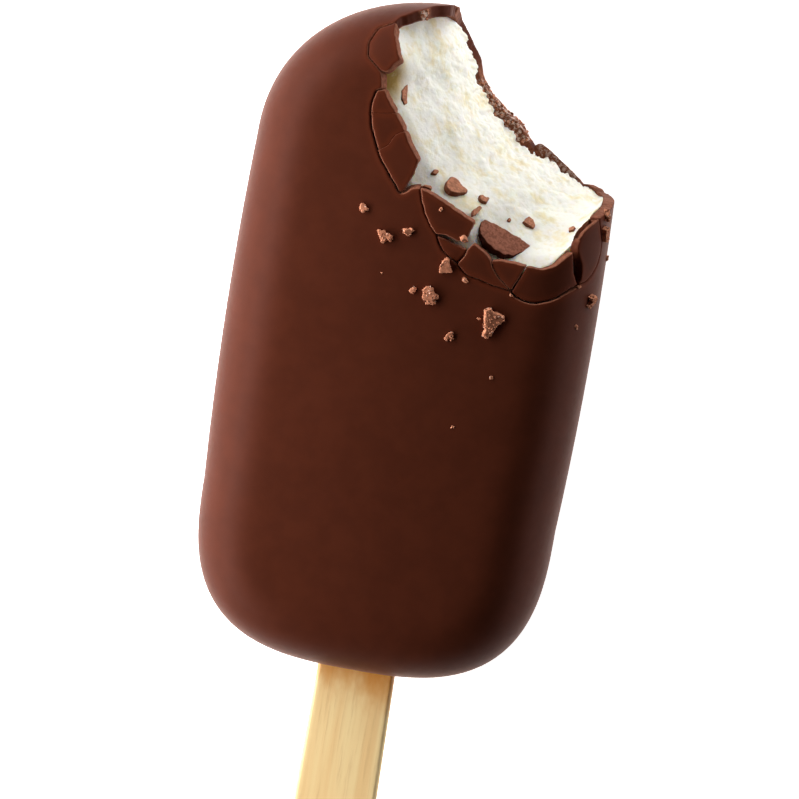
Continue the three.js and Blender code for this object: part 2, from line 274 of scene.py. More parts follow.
def field(u, v, seed, layers=1):
    """Smooth uneven numbers between about -1 and 1 over a plane, with cells one unit wide."""
    total = np.zeros(np.broadcast(u, v).shape)
    for layer in range(layers):
        table = np.random.default_rng(seed + layer).uniform(-1, 1, (CELLS, CELLS))
        a, b = np.asarray(u) * 2**layer, np.asarray(v) * 2**layer
        i, j = np.floor(a).astype(int), np.floor(b).astype(int)
        s, t = a - i, b - j
        s, t = s * s * (3 - 2 * s), t * t * (3 - 2 * t)
        i, j, right, above = i % CELLS, j % CELLS, (i + 1) % CELLS, (j + 1) % CELLS
        low = table[i, j] * (1 - s) + table[right, j] * s
        high = table[i, above] * (1 - s) + table[right, above] * s
        total += (low * (1 - t) + high * t) * 0.5**layer
    return total


def ramp(value, start, end):
    share = np.clip((value - start) / (end - start), 0, 1)
    return share * share * (3 - 2 * share)


# %% The skin, unrolled and laid back
SECTION_STEPS = 1500
WAVINESS = 0.04
WAVES_PER_MM = 0.12
WAVES_FROM = 50
EDGE_STEP = 6


class Skin:
    """Half of the bar's surface. Its flat sheet keeps the middle as in plan, and the rounding follows on."""

    def __init__(self, rise, crown, up):
        self.rise, self.crown, self.up = rise, crown, up
        angle = (math.pi / 2) * np.linspace(1, 0, SECTION_STEPS) ** 2
        self.inward = 1 - np.cos(angle) ** (2 / ROUNDING_POWER)
        self.lift = np.sin(angle) ** (2 / ROUNDING_POWER)
        self.run = run_along(np.column_stack([self.inward * ROUNDING, self.lift * rise]))
        self.reach = self.run[-1]

    def crowned(self, plan):
        across = 1 - np.minimum(np.abs(plan[:, 0]) / HALF_WIDTH, 1) ** 2
        along = 1 - np.minimum(np.abs(plan[:, 1]) / HALF_LENGTH, 1) ** 4
        return self.crown * across * along

    def lay(self, sheet, depth=0.0):
        sheet = np.atleast_2d(sheet)
        depth = np.broadcast_to(depth, len(sheet))
        station = stations(sheet, INNER)
        inner, out = at_station(INNER, station), unit(at_station(OUT, station))
        past = ((sheet - inner) * out).sum(1)
        share, lift = np.interp(past, self.run, self.inward), np.interp(past, self.run, self.lift)
        inward = depth + (ROUNDING - depth) * share
        rounded = at_station(RING, station) - out * inward[:, None]
        plan = np.where((past <= 0)[:, None], sheet, rounded)
        u, v = plan.T * WAVES_PER_MM + WAVES_FROM
        wave = WAVINESS * field(u, v + lift * self.up, SEEDS["waves"], 2)
        z = MIDDLE + self.up * lift * (self.rise - depth + wave + self.crowned(plan))
        return np.column_stack([plan, z])

    def unlay(self, points):
        places = np.array([tuple(p) + (math.nan,) * (3 - len(p)) for p in points])
        plan, height = places[:, :2], (places[:, 2] - MIDDLE) * self.up
        station = stations(plan, RING)
        out = unit(at_station(OUT, station))
        inward = ((at_station(RING, station) - plan) * out).sum(1)
        by_plan = np.interp(-np.clip(inward / ROUNDING, 0, 1), -self.inward, self.run)
        by_height = np.interp(-height / self.rise, -self.lift, self.run)
        past = np.where(np.isnan(height), by_plan, by_height)
        on_flat = (inward >= ROUNDING) & np.isnan(height)
        return np.where(on_flat[:, None], plan, at_station(INNER, station) + out * past[:, None])

    def edge(self, start, end):
        """The mid-height line on this half's sheet, between two stations."""
        steps = np.linspace(start, end, int(abs(end - start) / EDGE_STEP) + 2)
        return at_station(INNER, steps) + unit(at_station(OUT, steps)) * self.reach


FRONT = Skin(THICKNESS - MIDDLE - CROWN, CROWN, 1)
BACK = Skin(MIDDLE, 0, -1)
print(f"The rounding unrolls to {FRONT.reach:.1f} mm in front and {BACK.reach:.1f} mm behind")

# %% [markdown]
# ## The cracks
# A brittle shell breaks along nearly straight lines that wander a little. Each crack is drawn once, by its
# corners on the bar, in millimetres, then cut short and made uneven. Both sides of a crack share it, so the
# plates fit each other as broken pieces do.

# %% The crack lines
# A corner is (x, y), or (x, y, height) where the skin is steep. A minus sign later reads a line backwards.
CRACKS = {
    "top_rim": [(-0.9, 46.7, 12.5), (-1.3, 46.5, 15.5), (-2, 46.4, 16.4), (-3.2, 46.1, 17.4),
        (-3.9, 45.7, 18.6), (-4.7, 45.3, 19.4), (-5.4, 45.1, 19.7), (-6.6, 44.4, 20.6), (-7.3, 43.9),
        (-7.8, 43.1)],
    "s1_outer": [(-7.8, 43.1), (-8.8, 42.5), (-9.9, 41.9), (-10.3, 41.1), (-10.6, 40.3), (-10.8, 39.4),
        (-10.6, 38.6), (-10.4, 37.8), (-9.5, 37.1), (-8.5, 36.3)],
    "s1_rim": [(-8.5, 36.3), (-7.7, 36.2), (-7.1, 36.6), (-6.7, 37.5), (-5.9, 38.2), (-6.5, 39.2),
        (-7, 40.6), (-7.6, 41.8), (-7.8, 43.1)],
    "tip": [(-8.5, 36.3), (-8.1, 35.6), (-8, 34.8), (-7.8, 34.1), (-8.5, 33.6)],
    "s2_top": [(-7.5, 33.9), (-8.5, 33.6)],
    "s2a_outer": [(-8.5, 33.6), (-8.7, 32.7), (-8.9, 31.7), (-8.8, 30.5)],
    "s2b_outer": [(-8.8, 30.5), (-8.4, 28.9), (-7.9, 27.5), (-7, 25.7)],
    "s2c_outer": [(-7, 25.7), (-6.5, 24.7), (-5.6, 23.6), (-4.9, 22.7), (-4.2, 21.8), (-3.6, 21),
        (-3.1, 20.5)],
    "s2c_side": [(-3.1, 20.5), (-2.5, 21.1), (-2.3, 21.9), (-2, 22.6), (-1.7, 23.3), (-1.6, 24),
        (-1.3, 25.3)],
    "s2c_rim": [(-1.3, 25.3), (-2, 26), (-2.9, 27.3), (-3.8, 28.8)],
    "s2b_rim": [(-3.8, 28.8), (-4.8, 30.2), (-5.4, 31)],
    "s2a_rim": [(-5.4, 31), (-6.6, 32.5), (-7.5, 33.9)],
    "s2_cut1": [(-8.8, 30.5), (-7, 30.7), (-5.4, 31)],
    "s2_cut2": [(-7, 25.7), (-5.8, 26.5), (-5.4, 27.5), (-4.9, 28.3), (-3.8, 28.8)],
    "s3_rim": [(-3.1, 20.5), (-2.3, 20.8), (-1.8, 21.4), (-1.1, 21.7), (-0.5, 21.7)],
    "s4_left": [(-0.5, 21.7), (-0.1, 20.1), (0.4, 19.1), (0.9, 18), (1.9, 16.6), (2.7, 15.8)],
    "s4_low": [(2.7, 15.8), (3.9, 15.9), (4.8, 15.6), (5.7, 15.3), (6.1, 15.5), (6.9, 16.1)],
    "s4_side": [(6.9, 16.1), (7.1, 16.9), (7.5, 18.3)],
    "s4_rim": [(7.5, 18.3), (6.5, 18.7), (4.8, 19.5), (3.3, 20.2), (2, 20.8), (0.7, 21.3), (-0.5, 21.7)],
    "s5_top": [(2.7, 15.8), (3.3, 15.6), (4, 15.5), (4.8, 15.2), (5.9, 14.9), (7.1, 14.5)],
    "s56": [(7.1, 14.5), (6.8, 13.5), (6.1, 12.4)],
    "s5_low": [(6.1, 12.4), (5.2, 12.9), (3.9, 13.8), (3.2, 14.7), (2.7, 15.8)],
    "s6_left": [(7.8, 15.5), (7.1, 14.5)],
    "s6_rim": [(10.5, 13.6), (10, 14.2), (8.8, 15), (7.8, 15.5)],
    "s67": [(10.5, 13.6), (10.8, 12.8), (11.4, 12), (12.3, 11.1), (12.9, 10.7), (13.9, 10)],
    "s6_low": [(6.1, 12.4), (6.9, 11.6), (7.8, 11.1), (9.5, 10.8), (11.3, 10.3), (13.9, 10)],
    "s7_rim": [(15.3, 13.7), (13.6, 13.8), (11.9, 13.9), (10.5, 13.6)],
    "s78": [(15.3, 13.7), (14.8, 12.2), (13.9, 10)],
    "s8_rim": [(21.3, 16.5), (20.3, 15.6), (19.1, 14.3), (18.2, 13.9), (17.4, 13.6), (16.4, 13.7),
        (15.3, 13.7)],
    "s8_right": [(21.3, 16.5), (21.5, 15.7), (21.6, 14.6), (22.2, 12.9), (22.6, 12.1)],
    "s8_low": [(13.9, 10), (14.4, 9.5), (15.4, 9.1), (17.1, 8.9), (18.7, 9.4), (20.2, 10.2), (21.4, 11.2),
        (22.6, 12.1)],
    "s9_left": [(21.7, 18.3), (21.5, 17.4), (21.7, 16.4), (22.1, 15.5), (22.4, 14.9), (22.7, 13.6),
        (22.6, 12.1)],
    "s9_rim": [(23.8, 21.4, 19.8), (23, 20.5), (22.2, 19.5), (21.7, 18.3)],
    "s9_right": [(22.6, 12.1), (23.6, 12.8), (24, 13.5, 19.8), (24.5, 15.1, 18.6), (24.7, 16.7, 18.1),
        (24.5, 18.5, 18.3), (23.8, 21.4, 19.8)],
    "side_rim": [(23.8, 21.4, 19.8), (24.2, 22, 18.6), (24.8, 22.6, 16.6), (25.1, 23.1, 14.6),
        (25.2, 23.6, 12.5)],
}
BACK_CRACKS = {
    "back_rim": [(-0.9, 46.7, 12.5), (-1.1, 46.3, 8), (-0.9, 45.3, 4), (0, 43.6), (1.1, 41.7), (2.4, 39.8),
        (3, 37.7), (3.8, 36.4), (4.8, 35.2), (6.2, 34.1), (7.8, 32.8), (9.4, 31.9), (10.4, 30.9), (11, 29.9),
        (12.4, 28.5)],
    "b3_rim": [(12.4, 28.5), (13, 29.2), (15.6, 27.8), (18.3, 26.2), (20.3, 25)],
    "b3_inner": [(20.3, 25), (18.6, 23.2), (15.4, 23.9), (12.8, 26.8), (12.4, 28.5)],
    "corner_rim": [(20.3, 25), (21.5, 25.2), (23.1, 24.8), (24.3, 24.5, 4), (24.9, 24.1, 8),
        (25.2, 23.6, 12.5)],
}
STEP = 0.16
CRACK_SMOOTHING = 5
JAG = 0.04
JAGS_PER_MM = 1.3
JAG_FREE_END = 0.6


def drawn(skin, corners):
    """A crack on the skin's sheet, in even steps, wandering a little but true at both ends."""
    sheet = skin.unlay(corners)
    run = run_along(sheet)
    line = resampled(sheet, max(3, math.ceil(run[-1] / STEP)))
    for _ in range(CRACK_SMOOTHING):
        line[1:-1] = (line[:-2] + 2 * line[1:-1] + line[2:]) / 4
    along = np.gradient(line, axis=0)
    across = unit(np.column_stack([-along[:, 1], along[:, 0]]))
    jag = JAG * field(*line.T * JAGS_PER_MM, SEEDS["cracks"], 3)
    ends = ramp(from_ends(line), 0, JAG_FREE_END)
    return line + across * (jag * ends)[:, None]


LINES = {name: drawn(FRONT, corners) for name, corners in CRACKS.items()}
LINES.update({name: drawn(BACK, corners) for name, corners in BACK_CRACKS.items()})
print(f"{len(LINES)} crack lines, {sum(run_along(line)[-1] for line in LINES.values()):.0f} mm in all")

# %% Joining lines and setting them back
SET_BACK_KEPT = 0.93
TINY = 1e-6


def joined(names):
    """The named lines end to end, those with a minus sign backwards, and the name that each point is from."""
    parts, owners = [], []
    for name in names.split():
        part = LINES[name.strip("-")][:: -1 if name.startswith("-") else 1][1:]
        parts.append(part)
        owners += [name.strip("-")] * len(part)
    return np.vstack(parts), np.array(owners)


def distance_to(points, starts, ends):
    """The distance from each point to the nearest of many short straight lines."""
    found = np.empty(len(points))
    span = ends - starts
    length2 = np.maximum((span**2).sum(1), 1e-12)
    for part in batches(points):
        gap = points[part, None, :] - starts[None]
        share = np.clip((gap * span[None]).sum(2) / length2, 0, 1)
        off = gap - share[:, :, None] * span[None]
        found[part] = np.sqrt((off**2).sum(2).min(1))
    return found


def set_back(line, distance, closed):
    """The line moved to its left, without the stretches that would cross themselves."""
    if closed:
        along = np.roll(line, -1, 0) - np.roll(line, 1, 0)
        starts, ends = line, np.roll(line, -1, 0)
    else:
        along = np.gradient(line, axis=0)
        starts, ends = line[:-1], line[1:]
    left = unit(np.column_stack([-along[:, 1], along[:, 0]]))
    distance = np.broadcast_to(distance, len(line))
    moved = line + left * distance[:, None]
    keep = distance_to(moved, starts, ends) > SET_BACK_KEPT * distance - TINY
    if not closed:
        keep[0] = keep[-1] = True
    return moved[keep]


def inside(points, loop):
    x, y = points.T
    hit = np.zeros(len(points), bool)
    for (ax, ay), (bx, by) in zip(loop, np.roll(loop, -1, 0)):
        if ay != by:
            crosses = (ay > y) != (by > y)
            hit ^= crosses & (x < (bx - ax) * (y - ay) / (by - ay) + ax)
    return hit


# %% [markdown]
# ## Plates of coating
# A plate is cut from the sheet: its outline is filled with triangles that are small at the edge and large in
# the middle, and laid on the bar twice, at the surface and at the coating's depth. Rows between them make the
# broken wall, which is rough and, beside the bite, slopes out under the plate. The lip is rounded, because
# chocolate chips and warms there, and catches the light. Its thin pale line is also painted: partly the paler
# broken chocolate, partly a painted highlight, with a painted warm glow beside it for light through the edge.

# %% Filling an outline with triangles
LIP_ROWS = (0.03, 0.09, 0.17, 0.27, 0.45, 0.8)
ROW_SLACK = 1.05
ROW_HEIGHT = 0.866
EDGE_CLEAR = 0.3
SEAM_CLEAR = 0.4
SEAM_CLEAR_ROWS = 0.12


def grid_over(loop, spacing):
    low, high = loop.min(0), loop.max(0)
    xs = np.arange(low[0], high[0], spacing)
    ys = np.arange(low[1], high[1], spacing * ROW_HEIGHT)
    return np.array([(x + (j % 2) * spacing / 2, y) for j, y in enumerate(ys) for x in xs])


def points_within(loop, wall, spacing):
    """A coarse grid inside the loop, and rows that follow its broken edge closely."""
    after = np.roll(loop, -1, 0)
    edge, seam = (loop[wall], after[wall]), (loop[~wall], after[~wall])
    rows = [set_back(loop, reach, True) for reach in LIP_ROWS]
    rows = [row[distance_to(row, *edge) < reach * ROW_SLACK] for row, reach in zip(rows, LIP_ROWS)]
    grid = grid_over(loop, spacing)
    grid = grid[inside(grid, loop)]
    grid = grid[distance_to(grid, *edge) > LIP_ROWS[-1] + EDGE_CLEAR * spacing]
    if not wall.all():
        rows = [row[distance_to(row, *seam) > SEAM_CLEAR_ROWS] for row in rows if len(row)]
        grid = grid[distance_to(grid, *seam) > SEAM_CLEAR * spacing]
    within = np.vstack([*rows, grid])
    return within[inside(within, loop)]


def filled(loop, within):
    """The loop and the points within it as a flat sheet of triangles: its points and its faces."""
    count = len(loop)
    sheet = [Vector(point) for point in np.vstack([loop, within])]
    edges = [(i, (i + 1) % count) for i in range(count)]
    found = delaunay_2d_cdt(sheet, edges, [list(range(count))], 1, TINY)
    if len(found[0]) != len(sheet):
        print(f"   {len(found[0]) - len(sheet)} points added by crossings")
    return np.array([tuple(point) for point in found[0]]), [face for face in found[2] if len(face) == 3]


# %% The plate maker
LIP = 0.24
LIP_WANDER = 0.35
LIP_CELLS = 0.8
# Down the wall: its rows as shares of its height, and the unevenness of their places
WALL_DEPTHS = (0.2, 0.4, 0.6, 0.8, 1.0)
WALL_CELLS = 2.2
WALL_DRIFT = 2.5
SLOPE_BEND = 0.8
# The underside is pitted near the edge
PIT = 0.1
PIT_CELLS = 1.7
PIT_REACH = 3
# Brokenness: the pale lip line, partly broken chocolate and partly a painted highlight; the painted warm glow
# beside it, which stands in for light through the thin edge; and the underside
LIP_LINE = (0.03, 0.2)
PAINTED_GLOW_LEVEL = 0.14
PAINTED_GLOW_REACH = (0.1, 1.2)
UNDERSIDE_TORN = 0.8
UNDERSIDE_REACH = 2.5


def edge_distance(skin, loop, wall, flat):
    """How far each point of the sheet is from the broken edge. On a seam it is measured over the bar."""
    edge = wall | np.roll(wall, 1)
    tips = edge & ~(wall & np.roll(wall, 1))
    seam = np.flatnonzero(~edge)
    gap = distance_to(flat, loop[wall], np.roll(loop, -1, 0)[wall])
    gap[: len(loop)][edge] = 0
    if len(seam):
        gap[seam] = np.linalg.norm(skin.lay(loop[seam])[:, None] - skin.lay(loop[tips])[None], axis=2).min(1)
    return gap, seam, tips, edge & ~tips


def plate_brokenness(gap, lip_width, sheet_torn, torn, wall_rows):
    """How broken each point of a plate is, on its face with a pale lip that is partly a painted highlight and
    a painted glow beside it, its wall and its underside.
    """
    lip_line = (1 - ramp(gap / lip_width, *LIP_LINE)) * sheet_torn
    outer = np.maximum(lip_line, PAINTED_GLOW_LEVEL * (1 - ramp(gap, *PAINTED_GLOW_REACH)))
    inner = np.maximum(UNDERSIDE_TORN, sheet_torn * (gap < UNDERSIDE_REACH))
    return np.concatenate([outer] + [torn] * wall_rows + [inner])


def plate_faces(triangles, wall, offsets, up):
    """The face, the underside and the rows of the wall, by where each row of points starts."""
    count = len(wall)
    faces = triangles + [[offsets[-2] + i for i in face[::-1]] for face in triangles]
    for upper, lower in zip(offsets[:-2], offsets[1:-1]):
        for i in np.flatnonzero(wall):
            j = (i + 1) % count
            faces.append([upper + i, lower + i, lower + j, upper + j])
    return faces if up > 0 else [face[::-1] for face in faces]


def plate_mesh(skin, loop, wall, spacing, thickness=COATING, rough=0.03, seed=5, **edge_styles):
    """Vertices, faces and brokenness of a plate. wall says which stretches of the loop are broken edge.

    The edge styles are numbers, or one number for each point of the loop: how far the wall's foot stands out
    (slope) and its lip (flare), how wide the lip is (lip), and how torn the break looks (torn).
    """
    count = len(loop)
    styles = {"slope": 0.0, "flare": 0.0, "lip": 1.0, "torn": 1.0, **edge_styles}
    slope, flare, lip_width, torn = (np.broadcast_to(value, count) for value in styles.values())
    flat, triangles = filled(loop, points_within(loop, wall, spacing))
    gap, seam, tips, free = edge_distance(skin, loop, wall, flat)
    beside = nearest(flat, loop)
    lip = LIP * lip_width[beside] * (1 + LIP_WANDER * field(*flat.T * LIP_CELLS, seed, 2))
    lip[seam] = LIP
    drop = lip * (1 - np.sqrt(1 - (1 - np.clip(gap / lip, 0, 1)) ** 2))
    drop[:count][tips] = LIP
    out = outward(loop) * free[:, None]

    def wall_row(share):
        depth = drop[:count] + (thickness - drop[:count]) * share
        u, v = loop.T * WALL_CELLS
        jag = rough * field(u, v + share * WALL_DRIFT, seed + 3, 3)
        push = slope * share**SLOPE_BEND + flare * (1 - share) + jag
        return loop + out * push[:, None], depth

    walls = [wall_row(share) for share in WALL_DEPTHS]
    outer_sheet, inner_sheet = flat.copy(), flat.copy()
    outer_sheet[:count] += out * flare[:, None]
    inner_sheet[:count] = walls[-1][0]
    pits = PIT * np.abs(field(*flat.T * PIT_CELLS, seed + 6, 2)) * (gap < PIT_REACH)
    pits[:count] = 0
    points = [skin.lay(outer_sheet, drop)] + [skin.lay(*row) for row in walls[:-1]]
    points.append(skin.lay(inner_sheet, thickness - pits))
    offsets = np.cumsum([0] + [len(part) for part in points])
    faces = plate_faces(triangles, wall, offsets, skin.up)
    broken = plate_brokenness(gap, lip_width[beside], torn[beside], torn, len(walls) - 1)
    return np.vstack(points), faces, broken


# %% From arrays to Blender meshes
DOUBLES = 0.002


def gathered(parts):
    """Several meshes' vertices, faces and brokenness as one."""
    starts = np.cumsum([0] + [len(points) for points, _, _ in parts])
    faces = [[start + i for i in face] for start, (_, found, _) in zip(starts, parts) for face in found]
    return np.vstack([part[0] for part in parts]), faces, np.concatenate([part[2] for part in parts])


def mesh_object(name, points, faces, broken=None, material=None):
    """A smooth mesh from millimetres, with its doubles merged and its brokenness kept on the points."""
    mesh = bpy.data.meshes.new(name)
    mesh.from_pydata((points * MM).tolist(), [], faces)
    if broken is not None:
        mesh.attributes.new("broken", "FLOAT", "POINT").data.foreach_set("value", broken)
    work = bmesh.new()
    work.from_mesh(mesh)
    bmesh.ops.remove_doubles(work, verts=work.verts, dist=DOUBLES * MM)
    loose = [vert for vert in work.verts if not vert.link_faces]
    bmesh.ops.delete(work, geom=loose, context="VERTS")
    open_edges = sum(1 for edge in work.edges if not edge.is_manifold)
    work.to_mesh(mesh)
    work.free()
    mesh.shade_smooth()
    if material:
        mesh.materials.append(material)
    piece = bpy.data.objects.new(name, mesh)
    bpy.context.collection.objects.link(piece)
    triangles = sum(len(face.vertices) - 2 for face in mesh.polygons)
    print(f"   {name}: {triangles} triangles" + (f", {open_edges} open edges" if open_edges else ""))
    return piece


def finish_piece(piece, slot_name, *nodes):
    if nodes:
        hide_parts(*nodes)
    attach(piece, "root")
    return piece


# %% [markdown]
# ## Materials
# Shader sums read like arithmetic once a socket is wrapped in a small class. Each finish below follows the
# real one's: satin chocolate, its paler broken edge with a painted highlight and a painted glow at the lip,
# moist ice cream with yellow cream in its hollows that is partly painted shade, and birch.

# %% A small language for shader nodes


class Wire:
    """One output of a shader tree, with the operators that the finishes use."""

    def __init__(self, tree, socket):
        self.tree, self.socket = tree, socket

    def node(self, kind, settings=None, outlet=0, **inputs):
        made = self.tree.nodes.new(kind)
        for name, value in (settings or {}).items():
            setattr(made, name, value)
        for name, value in inputs.items():
            numbered = name[0] == "_" and name[1:].isdigit()
            socket = made.inputs[int(name[1:]) if numbered else name.replace("_", " ").strip()]
            if isinstance(value, Wire):
                self.tree.links.new(value.socket, socket)
            else:
                socket.default_value = value
        return Wire(self.tree, made.outputs[outlet])

    def math(self, operation, left, right):
        return self.node("ShaderNodeMath", {"operation": operation}, _0=left, _1=right)

    def __add__(self, other):
        return self.math("ADD", self, other)

    def __rsub__(self, other):
        return self.math("SUBTRACT", other, self)

    def __mul__(self, other):
        return self.math("MULTIPLY", self, other)

    def ramp(self, low, high, start=0.0, end=1.0):
        return self.node("ShaderNodeMapRange", {"interpolation_type": "SMOOTHSTEP"}, Value=self,
                         From_Min=low, From_Max=high, To_Min=start, To_Max=end)

    def noise(self, scale, detail=2.0, roughness=0.5, distortion=0.0):
        return self.node("ShaderNodeTexNoise", Vector=self, Scale=scale, Detail=detail, Roughness=roughness,
                         Distortion=distortion)

    def blend(self, factor, other):
        """This colour, turning into the other by the factor."""
        return self.node("ShaderNodeMix", {"data_type": "RGBA"}, 2, _0=factor, _6=self, _7=other)

    def stretched(self, *scale):
        return self.node("ShaderNodeMapping", Vector=self, Scale=scale)


def colour(red, green, blue):
    """A colour given as a screen shows it, in parts of 255, as the shader wants it."""
    parts = [part / 255 for part in (red, green, blue)]
    return tuple(p / 12.92 if p <= 0.04045 else ((p + 0.055) / 1.055) ** 2.4 for p in parts) + (1.0,)


def new_finish(name, **constants):
    """A material, its shader node and a wire to its object coordinates."""
    material = bpy.data.materials.new(name)
    material.use_nodes = True
    tree = material.node_tree
    shader = tree.nodes["Principled BSDF"]
    for socket_name, value in constants.items():
        shader.inputs[socket_name.replace("_", " ")].default_value = value
    place = Wire(tree, tree.nodes.new("ShaderNodeTexCoord").outputs["Object"])
    return material, shader, place


def feed(shader, **wires):
    for name, wire in wires.items():
        wire.tree.links.new(wire.socket, shader.inputs[name.replace("_", " ")])


def bumped(height, distance, strength=1.0):
    return height.node("ShaderNodeBump", Height=height, Distance=distance * MM, Strength=strength)


# %% Chocolate
PER_MM = 1 / MM
FROST = colour(238, 214, 200)
# Painted glow: a warm red-brown beside each lip that stands in for light shining through the thin edge
PAINTED_EDGE_GLOW = colour(98, 42, 22)
SHEEN = (1, 0.52, 0.36, 1)
# Under the first value of broken the face is whole, over the second it is a break, and then frost begins
TORN_FROM, TORN_TO = 0.15, 0.85
FROST_FROM, FROST_TO = 1.05, 1.5


def tinted(paint, share):
    return tuple(part * share for part in paint[:3]) + (1.0,)


def mixed(factor, low, high):
    """A colour between two, by a wire."""
    return factor.node("ShaderNodeMix", {"data_type": "RGBA"}, 2, _0=factor, _6=low, _7=high)


def chocolate(name, face, broken, gloss=0.48):
    """Satin chocolate. Where the attribute broken is 1 it is a fresh break, and above 1 there is frost."""
    material, shader, place = new_finish(
        name, IOR=1.14, Sheen_Weight=0.2, Sheen_Roughness=0.3, Sheen_Tint=SHEEN)
    raw = place.node("ShaderNodeAttribute", {"attribute_name": "broken"}, 2)
    painted_glow = raw.ramp(0, PAINTED_GLOW_LEVEL)
    grains = place.noise(2.6 * PER_MM, 4, 0.6)
    flecks = place.noise(1.9 * PER_MM, 4, 0.7)
    clouds = place.noise(0.3 * PER_MM, 3, 0.6)
    specks = place.noise(1.1 * PER_MM, 5, 0.7)
    torn = raw.ramp(TORN_FROM, TORN_TO)
    frost = raw.ramp(FROST_FROM, FROST_TO) * flecks.ramp(0.47, 0.6)
    # The face turns towards the painted glow colour next to each lip; the pale lip is partly a painted
    # highlight
    skin = mixed(clouds.ramp(0.3, 0.7), tinted(face, 0.93), tinted(face, 1.07)).blend(painted_glow * 0.4, PAINTED_EDGE_GLOW)
    crumbly = mixed(grains.ramp(0.35, 0.65), tinted(broken, 0.72), tinted(broken, 1.2))
    feed(shader, Base_Color=skin.blend(torn, crumbly).blend(frost * 0.8, FROST))
    feed(shader, Roughness=torn * 0.2 + specks.ramp(0.3, 0.7, gloss - 0.03, gloss + 0.05))
    height = specks * (1 - torn) * 0.2 + grains * torn
    feed(shader, Normal=bumped(height, 0.1, 0.5))
    return material


COATING_FINISH = chocolate("milk_chocolate", colour(75, 33, 19), colour(132, 80, 60))
print("Chocolate finish is ready")

# %% [markdown]
# ## The coating and its plates
# The coating is one shell, front and back, open where the bite is and round the stick. Its two halves are cut
# on their sheets with the same mid-height line and then joined. Every plate that the bite cracked loose
# is its own piece, a little turned or raised, as frozen plates come to rest.

# %% The coating
CRACK_PATH = ("top_rim s1_outer tip s2a_outer s2b_outer s2c_outer s3_rim s4_left -s5_low s6_low s8_low"
              " s9_right side_rim")
BACK_PATH = "back_rim -b3_inner corner_rim"
SET_BACK = {
    "s1_outer": 0.06, "tip": 0.02, "s2a_outer": 0.12, "s2b_outer": 0.15, "s2c_outer": 0.12, "s3_rim": 0.1,
    "s4_left": 0.05, "s5_low": 0.04, "s6_low": 0.05, "s8_low": 0.22, "s9_right": 0.04, "b3_inner": 0.2,
}
RIM_SLOPES = {"tip": 0.5, "s3_rim": 0.5}
# How torn each break looks: near 0 it is smooth and dark, at 1 pale and grainy, and above 1 frosted. The side
# of a crack that gets the pale lip also carries the painted highlight along it
TORN = {
    "top_rim": 0.1, "back_rim": 1.5, "corner_rim": 0.75, "side_rim": 0.7, "b3_rim": 1.3, "b3_inner": 0.9,
    "s2_cut1": 0.3, "s2_cut2": 0.45, "s8_right": 0.2, "s9_left": 0.35, "coating s1_outer": 0.7,
    "coating s2a_outer": 0.2, "coating s2b_outer": 0.2, "coating s2c_outer": 0.3, "coating s4_left": 0.1,
    "coating s5_low": 0.15, "coating s6_low": 0.15, "coating s8_low": 1.0, "coating s9_right": 0.3,
    "front_shard_1 s1_outer": 0.15, "front_shard_6 s5_low": 0.25, "front_shard_6 s56": 0.1,
    "front_shard_7 s6_low": 0.25, "front_shard_9 s78": 0.1, "front_shard_9 s8_low": 0.1,
}
TORN_SPOTS = [
    ((0.3, 42.2), 5.2, 0.15),
    ((-4.4, 45.2), 0.8, 1.5),
    ((7.2, 33.4), 1.8, 2.2),
    ((9.8, 31.4), 1.4, 2.4),
    ((11.8, 29), 0.8, 0.2),
    ((23.8, 24), 1.2, 0.5),
]
STICK_WIDTH = 11
STICK_THICKNESS = 2
STICK_OFF_CENTRE = 0.6
STICK_FIT = 0.12
RIM_FLARES = {"back_rim": 0.5}
SET_BACK_START = (0.2, 1.5)
SLOT_STEPS = (6, 40, 6)
FRONT_SPACING, BACK_SPACING = 1.1, 1.6


def by_line(table, owners, otherwise, piece=""):
    """A value for each point, by its line. The table may give a line's value for one piece alone."""
    return np.array([table.get(f"{piece} {owner}", table.get(owner, otherwise)) for owner in owners])


def torn_along(piece, skin, line, owners):
    """How torn each point of a broken edge looks, by its line and by the spots that it passes."""
    torn = by_line(TORN, owners, 1.0, piece)
    for spot, reach, value in TORN_SPOTS:
        away = np.linalg.norm(skin.lay(line)[:, :2] - spot, axis=1)
        torn = torn + (value - torn) * np.exp(-((away / reach) ** 4))
    return torn


def slot_path(skin, sides, start, end):
    """Round the stick's slot, from one seam to the other."""
    corners = at_station(INNER, sides + STATIONS)
    out = unit(at_station(OUT, sides + STATIONS))
    slot_reach = skin.reach - STICK_THICKNESS / 2 - STICK_FIT
    path = np.vstack([start, corners + out * slot_reach, end])
    return np.vstack([resampled(path[k : k + 2], count)[:-1] for k, count in enumerate(SLOT_STEPS)])


